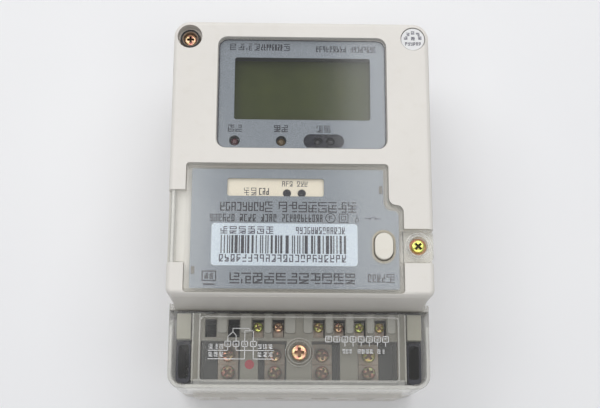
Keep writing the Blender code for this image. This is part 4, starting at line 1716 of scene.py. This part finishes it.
@dataclass
class TerminalCover:
    """The clear box over the terminals, its ribs, prints and screw.

    Args:
        panel: The raised window's bounds.
        rib_x: How far the ribs beside the window stand from the middle.
        front: Half the length of the straight front wall.
        boxes_x: The places of the wiring diagram's four boxes.
    """

    palette: Palette
    panel: tuple[float, float, float, float] = (-42.4, 42.4, -76.1, -48.4)
    rib_x: tuple[float, float] = (42.6, 45.4)
    front: float = 48.5
    boxes_x: tuple[float, ...] = (-30.5, -27.0, -23.3, -19.6)

    def build(self) -> None:
        """Builds the cover's pieces."""
        shell = soften(recast("terminal_cover", "lid_shell"), 0.3)
        dress(shell, self.palette.clear, "terminal_lid", "clear_plastic", "terminal_cover")
        self.ribs()
        self.rims()
        self.rings()
        self.prints()
        self.screw()

    def ribs(self) -> None:
        """Upright ribs under the lid, beside the window."""
        top = spot_of("terminal_cover")[0].z + 29.0
        for hand, side in HANDS:
            for k, x in enumerate(self.rib_x):
                a, b = sorted((side * x, side * (x + 0.6)))
                foot, head = (a, -76.4, top - 1.0), (b, -46.4, top + 0.15)
                rib = slab(f"lid_rib_{hand}_{k}", foot, head, 0.25, 0.0, 0.2)
                dress(smooth(rib), self.palette.rib, "terminal_lid", "clear_plastic")

    def rims(self) -> None:
        """The thick edges of the cover's wall as hazier white bands that paint their highlights, a front
        sheet with a painted glow, and sheets that paint a reflection.
        """
        low, high = spot_of("terminal_cover")
        # The crown and foot bands are hazier and whiter than the cover: painted highlights along its edges.
        bands = (("crown", high.z - 5.2, high.z - 1.62, 0.7), ("foot", low.z + 0.15, low.z + 2.2, 0.3))
        for name, z0, z1, edge in bands:
            outer = slab(f"lid_{name}", (low.x + 0.2, low.y + 0.2, z0), (high.x - 0.2, -46.0, z1), 5.6, edge)
            hole = slab("hole", (low.x + 1.5, low.y + 1.5, z0 - 2), (high.x - 1.5, -30, z1 + 2), 4.5)
            carve(outer, hole, slab("back", (-60, -52, z0 - 2), (60, -40, z1 + 2)))
            dress(smooth(outer), self.palette.rim, "terminal_lid", "clear_plastic")
        x0, x1, y0, y1 = self.panel
        z = high.z - 0.95
        step = slab("lid_step", (x0 - 0.5, y0 + 0.3, z - 0.7), (x1 + 0.5, y1 + 0.6, z - 0.1), 2.2)
        carve(step, slab("hole", (x0 + 0.1, y0 + 0.9, z - 2), (x1 - 0.1, y1, z + 2), 1.8))
        dress(smooth(step), self.palette.rib, "terminal_lid", "clear_plastic")
        wide = self.front
        # The brow, a hazier white bar along the front top edge: a painted highlight.
        brow = slab(
            "lid_brow", (-wide, low.y + 0.3, high.z - 3.4), (wide, low.y + 1.9, high.z - 1.64), 0.5, 0.7
        )
        dress(smooth(brow), self.palette.brow, "terminal_lid", "clear_plastic")
        # A hazy sheet inside the front wall whose finish emits light: a painted glow that brightens the wall.
        face = slab(
            "lid_face", (-wide, low.y + 0.32, low.z + 8.0), (wide, low.y + 0.92, high.z - 5.4), 0.2, 0.15
        )
        dress(smooth(face), self.palette.face, "terminal_lid", "clear_plastic")
        # Two hazy sheets under the lid's top paint a lighter reflection band over the window's lower part,
        # brightest along its front edge.
        sheets = (
            ("pane", 41.8, -74.4, -57.4, 2.4, self.palette.painted_reflection),
            ("sill", 45.0, -76.8, -74.6, 2.3, self.palette.rib),
        )
        for name, half, y0, y1, drop, finish in sheets:
            sheet = slab(f"lid_{name}", (-half, y0, high.z - drop), (half, y1, high.z - drop + 0.25), 0.4)
            carve(sheet, drum("hole", (0, -63.2), 6.3, high.z - 9, high.z + 2))
            dress(sheet, finish, "terminal_lid", "clear_plastic")

    def rings(self) -> None:
        """The moulded rings round the screw."""
        centre = middle_of("terminal_cover_screw")
        for k, radius in enumerate((4.7, 5.85)):
            z = spot_of("terminal_cover")[1].z - (0.1 if k == 0 else 0.4)
            ring = [
                (radius, z + 0.15),
                (radius + 0.2, z + 0.05),
                (radius + 0.3, z - 0.15),
                (radius - 0.1, z - 0.15),
                (radius, z + 0.15),
            ]
            piece = lathe(f"lid_ring_{k + 1}", centre, ring, 56)
            dress(smooth(piece), self.palette.rib, "terminal_lid", "clear_plastic")

    def prints(self) -> None:
        """The white wiring diagrams."""
        z = spot_of("terminal_cover")[1].z - 0.4
        ink = Print("wiring_marks", z + 0.005, 0.04, 61)
        for x in self.boxes_x:
            ink.frame(x - 1.25, x + 1.25, -60.9, -58.7, 0.34)
            ink.words(x - 0.45, x + 0.45, -60.4, -59.2, 1, 0.28, gap=0)
        ink.path(((-30.5, -58.6), (-30.5, -56.6), (-28.6, -54.9)), 0.3)
        ink.path(((-28.4, -53.2), (-21.6, -53.2), (-20.8, -54.2), (-19.7, -54.2), (-19.7, -58.6)), 0.3)
        ink.path(((-28.4, -53.2), (-28.4, -54.6), (-27.0, -56.2), (-27.0, -58.6)), 0.3)
        ink.path(((-23.3, -58.6), (-23.3, -54.2), (-21.2, -54.2)), 0.3)
        ink.path(((-30.5, -61.0), (-30.5, -62.6), (-38.8, -62.6)), 0.3)
        ink.path(((-27.0, -61.0), (-27.0, -62.6), (-11.0, -62.6)), 0.3)
        ink.path(((-23.3, -61.0), (-23.3, -66.2), (-38.8, -66.2)), 0.3)
        ink.path(((-19.6, -61.0), (-19.6, -66.2), (-11.2, -66.2)), 0.3)
        for y in (-62.2, -65.6):
            ink.words(-38.6, -32.4, y + 0.3, y + 2.3, 3, 0.32, Script.DENSE)
            ink.words(-17.8, -11.4, y + 0.3, y + 2.3, 3, 0.32, Script.DENSE)
        for k in range(8):
            x = 12.5 + 3.48 * k
            ink.frame(x - 1.25, x + 1.25, -58.7, -56.3, 0.34)
            ink.words(x - 0.5, x + 0.5, -58.2, -56.8, 1, 0.28, gap=0)
            if k > 1:
                ink.line((x, -58.8), (x, -60.4), 0.3)
        ink.words(18.4, 22.4, -63.6, -61.8, 3, 0.3, Script.DENSE, 0.16)
        ink.words(24.8, 31.6, -63.6, -61.8, 4, 0.3, Script.DENSE, 0.16)
        ink.words(33.2, 36.4, -63.6, -61.8, 2, 0.3, Script.DENSE, 0.16)
        ink.make(self.palette.white_ink, "terminal_lid", "white_plastic")

    def screw(self) -> None:
        """The cover's screw."""
        low, high = spot_of("terminal_cover_screw")
        centre = middle_of("terminal_cover_screw")
        kind = CrossScrew((high.x - low.x) / 2, 2.4, 1.9, high.z - 2.4 - low.z, 2.1)
        piece = kind.build("lid_screw_head", centre, high.z)
        dress(piece, self.palette.rose_zinc, "lid_screw", "yellow_zinc", "terminal_cover_screw")
        kind.paint_recess_shade(piece, centre, high.z, self.palette.pale_recess_shade)


@dataclass
class TerminalBlock:
    """The black block with its clamps and screws, and the light comb over it.

    Args:
        comb_foot: Where the comb's bar ends and its fingers start, in Y.
        fingers: The X spans of the fingers.
        cells: The X places of the comb's cells.
        tongues: The X spans of the raised tongues between the cells.
        cell: Half the width of a cell.
        flank: Where the rests and caps beside the bays start, on either side.
        turns: How far each clamp screw is turned, in degrees.
    """

    palette: Palette
    comb_foot: float = -57.8
    fingers: tuple[tuple[float, float], ...] = (
        (42.4, 46.3),
        (17.7, 25.3),
        (-5.4, 5.4),
        (-25.3, -17.7),
        (-46.3, -42.4),
    )
    cells: tuple[float, ...] = (-38.2, -28.2, -17.8, -9.0, 8.6, 17.4, 26.4, 35.3)
    tongues: tuple[tuple[float, float], ...] = (
        (-35.3, -31.1),
        (-25.3, -20.7),
        (-14.9, -11.9),
        (-6.1, -1.6),
        (1.8, 5.7),
        (11.5, 14.5),
        (20.3, 23.5),
        (29.3, 32.4),
        (38.2, 41.8),
    )

    cell: float = 2.5
    flank: float = 46.6
    turns: tuple[float, ...] = (12, 50, 75, 30, 5, 62, 40, 20)

    def build(self) -> None:
        """Builds the block's pieces."""
        block = soften(recast("terminal_block", "block_body"), 0.25)
        dress(block, self.palette.block, "meter", "terminal_plastic", "terminal_block")
        self.comb()
        self.side_caps()
        self.clamps()
        self.screws()

    def comb(self) -> None:
        """The light comb: a bar with a cell over each small screw and fingers between the bays."""
        low, high = spot_of("terminal_shroud")
        z0, z1 = low.z, low.z + 2.5
        comb = slab("block_comb", (-46.3, self.comb_foot, z0), (46.3, high.y, z1))
        fuse(comb, *[slab("finger", (a, low.y, z0), (b, self.comb_foot + 1, z1)) for a, b in self.fingers])
        half = self.cell
        cells = [slab("cell", (x - half, -56.4, z0 - 2), (x + half, -48.4, z1 + 2)) for x in self.cells]
        notches = [
            slab("notch", (x - half, -49, z1 - 1.6), (x + half, high.y + 1, z1 + 2)) for x in self.cells
        ]
        carve(comb, *cells, *notches, drum("hole", (0, -63.2), 2.6, z0 - 2, z1 + 2))
        dress(soften(comb, 0.3), self.palette.shroud, "meter", "shroud_plastic", "terminal_shroud")
        for k, (x0, x1) in enumerate(self.tongues):
            tongue = slab(
                f"comb_tongue_{k + 1}", (x0, -54.6, z1 + 0.02), (x1, high.y - 0.2, z1 + 0.9), 1.1, 0.3
            )
            dress(smooth(tongue), self.palette.shroud_light, "meter", "shroud_plastic")
        for hand, side in HANDS:
            a, b = sorted((side * self.flank, side * 52.8))
            rest = slab(f"side_rest_{hand}", (a, -57.5, z0), (b, high.y - 0.3, z0 + 3.9), 0.5, 0.4)
            dress(smooth(rest), self.palette.side_pad, "meter", "shroud_plastic")

    def side_caps(self) -> None:
        """The navy caps beside the bays, and the red dot on the comb."""
        top = spot_of("terminal_shroud")[0].z
        for hand, side in HANDS:
            a, b = sorted((side * self.flank, side * 52.9))
            cap = slab(f"side_cap_{hand}", (a, -75.9, top + 0.05), (b, -58.4, top + 1.4), 1.8, 0.4)
            sx0, sx1 = sorted((side * 47.4, side * 51.9))
            carve(cap, slab("hole", (sx0, -74.0, top - 2), (sx1, -59.6, top + 4), 1.2))
            dress(smooth(cap), self.palette.navy, "meter", "terminal_plastic")
        dot = drum("phase_dot", (-21.3, -68.0), 2.0, 46.81, 46.9, 0.02)
        dress(dot, self.palette.red_ink, "meter", "shroud_plastic")

    def clamps(self) -> None:
        """The cage clamps."""
        for kind, count in (("main", 4), ("aux", 6)):
            for k in range(1, count + 1):
                node = f"{kind}_clamp_{k}"
                piece = recast(node, f"{kind}_cage_{k}")
                if kind == "main":
                    a, b = spot_of(node)
                    carve(piece, slab("groove", (a.x - 1, -66.45, b.z - 0.4), (b.x + 1, -66.05, b.z + 1)))
                soften(piece, 0.2)
                dress(piece, self.palette.brass, "meter", "clamp_brass", node)

    def screws(self) -> None:
        """The clamp screws, one modelled for each size and copied."""
        low, high = spot_of("main_screw_1a")
        first = middle_of("main_screw_1a")
        kind = CrossScrew((high.x - low.x) / 2, 2.9, 2.35, high.z - 2.9 - low.z, 2.0)
        master = kind.build("master", first, high.z)
        turns = iter(self.turns)
        tones = (self.palette.rose_zinc, self.palette.rose_zinc, self.palette.dull_zinc, self.palette.zinc)
        for k in range(1, 5):
            for letter in "ab":
                node = f"main_screw_{k}{letter}"
                a, b = spot_of(node)
                piece = copied(master, f"clamp_screw_{k}{letter}", (a - low).to_tuple(), next(turns))
                tone = tones[k - 1] if letter == "a" else self.palette.dull_zinc
                dress(piece, tone, node, "yellow_zinc", node)
                kind.paint_recess_shade(piece, middle_of(node), b.z, self.palette.pale_recess_shade)
        bpy.data.objects.remove(master, do_unlink=True)
        low, high = spot_of("aux_screw_1")
        first = middle_of("aux_screw_1")
        kind = CrossScrew(2.15, 1.8, 1.3, high.z - 1.8 - low.z, 1.4)
        master = kind.build("master", first, high.z)
        finishes = (
            self.palette.bright_zinc,
            self.palette.rose_zinc,
            self.palette.zinc,
            self.palette.rose_zinc,
            self.palette.bright_zinc,
            self.palette.zinc,
        )
        for k, finish in enumerate(finishes, 1):
            node = f"aux_screw_{k}"
            a, b = spot_of(node)
            piece = copied(master, f"small_screw_{k}", (a - low).to_tuple(), 23 * k)
            dress(piece, finish, "meter", "yellow_zinc", node)
            kind.paint_recess_shade(piece, middle_of(node), b.z, self.palette.pale_recess_shade)
        bpy.data.objects.remove(master, do_unlink=True)


@dataclass
class Interior:
    """What the casing hides: the board and the power parts.

    Args:
        pitch: The spacing of the chips' leads.
        layout: Each chip's name, its left and front edge, its width and its depth.
    """

    palette: Palette
    pitch: float = 0.65
    layout: tuple[tuple[str, float, float, float, float], ...] = (
        ("meter_chip", -24.0, 13.0, 9.0, 8.6),
        ("memory_chip", -7.0, 15.0, 4.9, 3.9),
        ("coupler_chip", 20.0, 13.6, 6.4, 4.6),
    )

    def build(self) -> None:
        """Dresses the inner nodes and adds their small detail."""
        finishes = {
            "main_pcb": self.palette.board,
            "latching_relay": self.palette.relay,
            "current_transformer": self.palette.relay,
            "power_transformer": self.palette.tape,
            "backup_battery": self.palette.sleeve,
            "filter_capacitor": self.palette.black,
            "shunt_strip": self.palette.copper,
            "load_busbar": self.palette.copper,
            "neutral_link": self.palette.copper,
        }
        for node, finish in finishes.items():
            paint(node, finish)
        self.chips()

    def chips(self) -> None:
        """Three chips with their leads on the board, between the display and the module."""
        top = spot_of("main_pcb")[1].z
        for name, left, front, wide, deep in self.layout:
            body = slab(name, (left, front, top + 0.12), (left + wide, front + deep, top + 1.5), 0.2, 0.15)
            carve(body, drum("pip", (left + 1.1, front + deep - 1.1), 0.4, top + 1.35, top + 3))
            dress(smooth(body), self.palette.black, "meter", "black_plastic")
            foot, head = (left - 0.9, front + 0.7, top + 0.02), (left + 0.05, front + 1.0, top + 0.25)
            master = slab("lead", foot, head, 0.0, 0.06)
            rows = range(int((deep - 1.0) / self.pitch))
            across = (0, (wide + 0.85) * MM)
            places = [Matrix.Translation((x, self.pitch * k * MM, 0)) for x in across for k in rows]
            dress(stamped(f"{name}_leads", master, places), self.palette.steel, "meter", "steel")


@dataclass
class RearHook:
    """The sliding steel tongue at the back."""

    palette: Palette

    def build(self) -> None:
        """Builds the hook."""
        hook = soften(recast("hanging_hook", "hook_plate"), 0.2)
        dress(hook, self.palette.steel, "hook", "steel", "hanging_hook")


# ------------------------------------------------------------------ studio
@dataclass
class Studio:
    """The pale floor, the soft lights and the camera."""

    focal: float = 65.03
    spot: Point = (-0.009578, -0.114722, 0.514831)

    def build(self) -> None:
        """Builds the studio."""
        self.floor()
        self.camera()
        self.lights()

    def floor(self) -> None:
        """A wide, pale, plain floor."""
        clear_selection()
        bpy.ops.mesh.primitive_plane_add(size=6, location=(0, 0, -0.0002))
        floor = settle(bpy.context.object, "studio_floor")
        g = Graph("studio_floor")
        g.surface(
            base_color=g.ramp(g.noise(160, 2), 0.3, 0.7, (0.90, 0.90, 0.91), (0.92, 0.92, 0.925)),
            roughness=0.8,
        )
        floor.data.materials.append(g.material)

    def camera(self) -> None:
        """The camera, above the meter and a little below its middle."""
        data = bpy.data.cameras.new("camera")
        data.lens = self.focal
        data.sensor_width = 36.0
        data.clip_start = 0.01
        data.clip_end = 20
        camera = bpy.data.objects.new("camera", data)
        right = Vector((0.99975, 0.00441, 0.02181))
        up = Vector((-0.00960, 0.96970, 0.24409))
        back = Vector((-0.02007, -0.24424, 0.96951))
        turn = Matrix((right, up, back)).transposed().to_4x4()
        camera.matrix_world = Matrix.Translation(self.spot) @ turn
        bpy.context.scene.collection.objects.link(camera)
        bpy.context.scene.camera = camera

    def lights(self) -> None:
        """Boxes overhead with a dark gap between them, two more beyond the ends, and a dim room."""
        self.panel("box_right", (0.575, 0.59, 1.25), (0.575, 0.59, 0), (0.96, 0.92), 4.9)
        self.panel("box_left_near", (-0.59, 0.26, 1.25), (-0.59, 0.26, 0), (0.94, 0.34), 2.4)
        self.panel("box_left_far", (-0.90, 0.85, 1.20), (-0.2, 0.1, 0), (0.9, 0.7), 4.4)
        self.panel("box_back", (0.0, 1.30, 1.05), (0, 0, 0), (1.6, 0.8), 6.4)
        self.panel("box_front", (0.12, -0.62, 1.5), (0.12, -0.45, 0), (1.7, 0.7), 7.0)
        world = bpy.data.worlds.new("room")
        world.use_nodes = True
        sky = world.node_tree.nodes["Background"]
        sky.inputs["Color"].default_value = (0.93, 0.95, 1.0, 1.0)
        sky.inputs["Strength"].default_value = 0.24
        bpy.context.scene.world = world
        bpy.context.scene.view_settings.view_transform = "Standard"

    def panel(self, name: str, spot: Point, aim: Point, size: tuple[float, float], power: float) -> None:
        """A flat soft light.

        Args:
            name: Its name.
            spot: Where it hangs.
            aim: The point that it faces.
            size: Its width and height.
            power: Its power in watts.
        """
        data = bpy.data.lights.new(name, "AREA")
        data.shape = "RECTANGLE"
        data.size, data.size_y = size
        data.energy = power
        lamp = bpy.data.objects.new(name, data)
        lamp.location = spot
        lamp.rotation_euler = (Vector(spot) - Vector(aim)).to_track_quat("Z", "Y").to_euler()
        bpy.context.scene.collection.objects.link(lamp)


def main() -> None:
    """Builds the meter's looks and its studio."""
    logging.basicConfig(level=logging.INFO, format="%(name)s: %(message)s")
    Studio().build()
    palette = Palette()
    outside = (Casing, DisplayUnit, FlipDoor, PageKey, SealPoints, TerminalCover)
    for part in (*outside, TerminalBlock, Interior, RearHook):
        part(palette).build()
        log.info("%s is built", part.__name__)


if __name__ == "__main__":
    main()
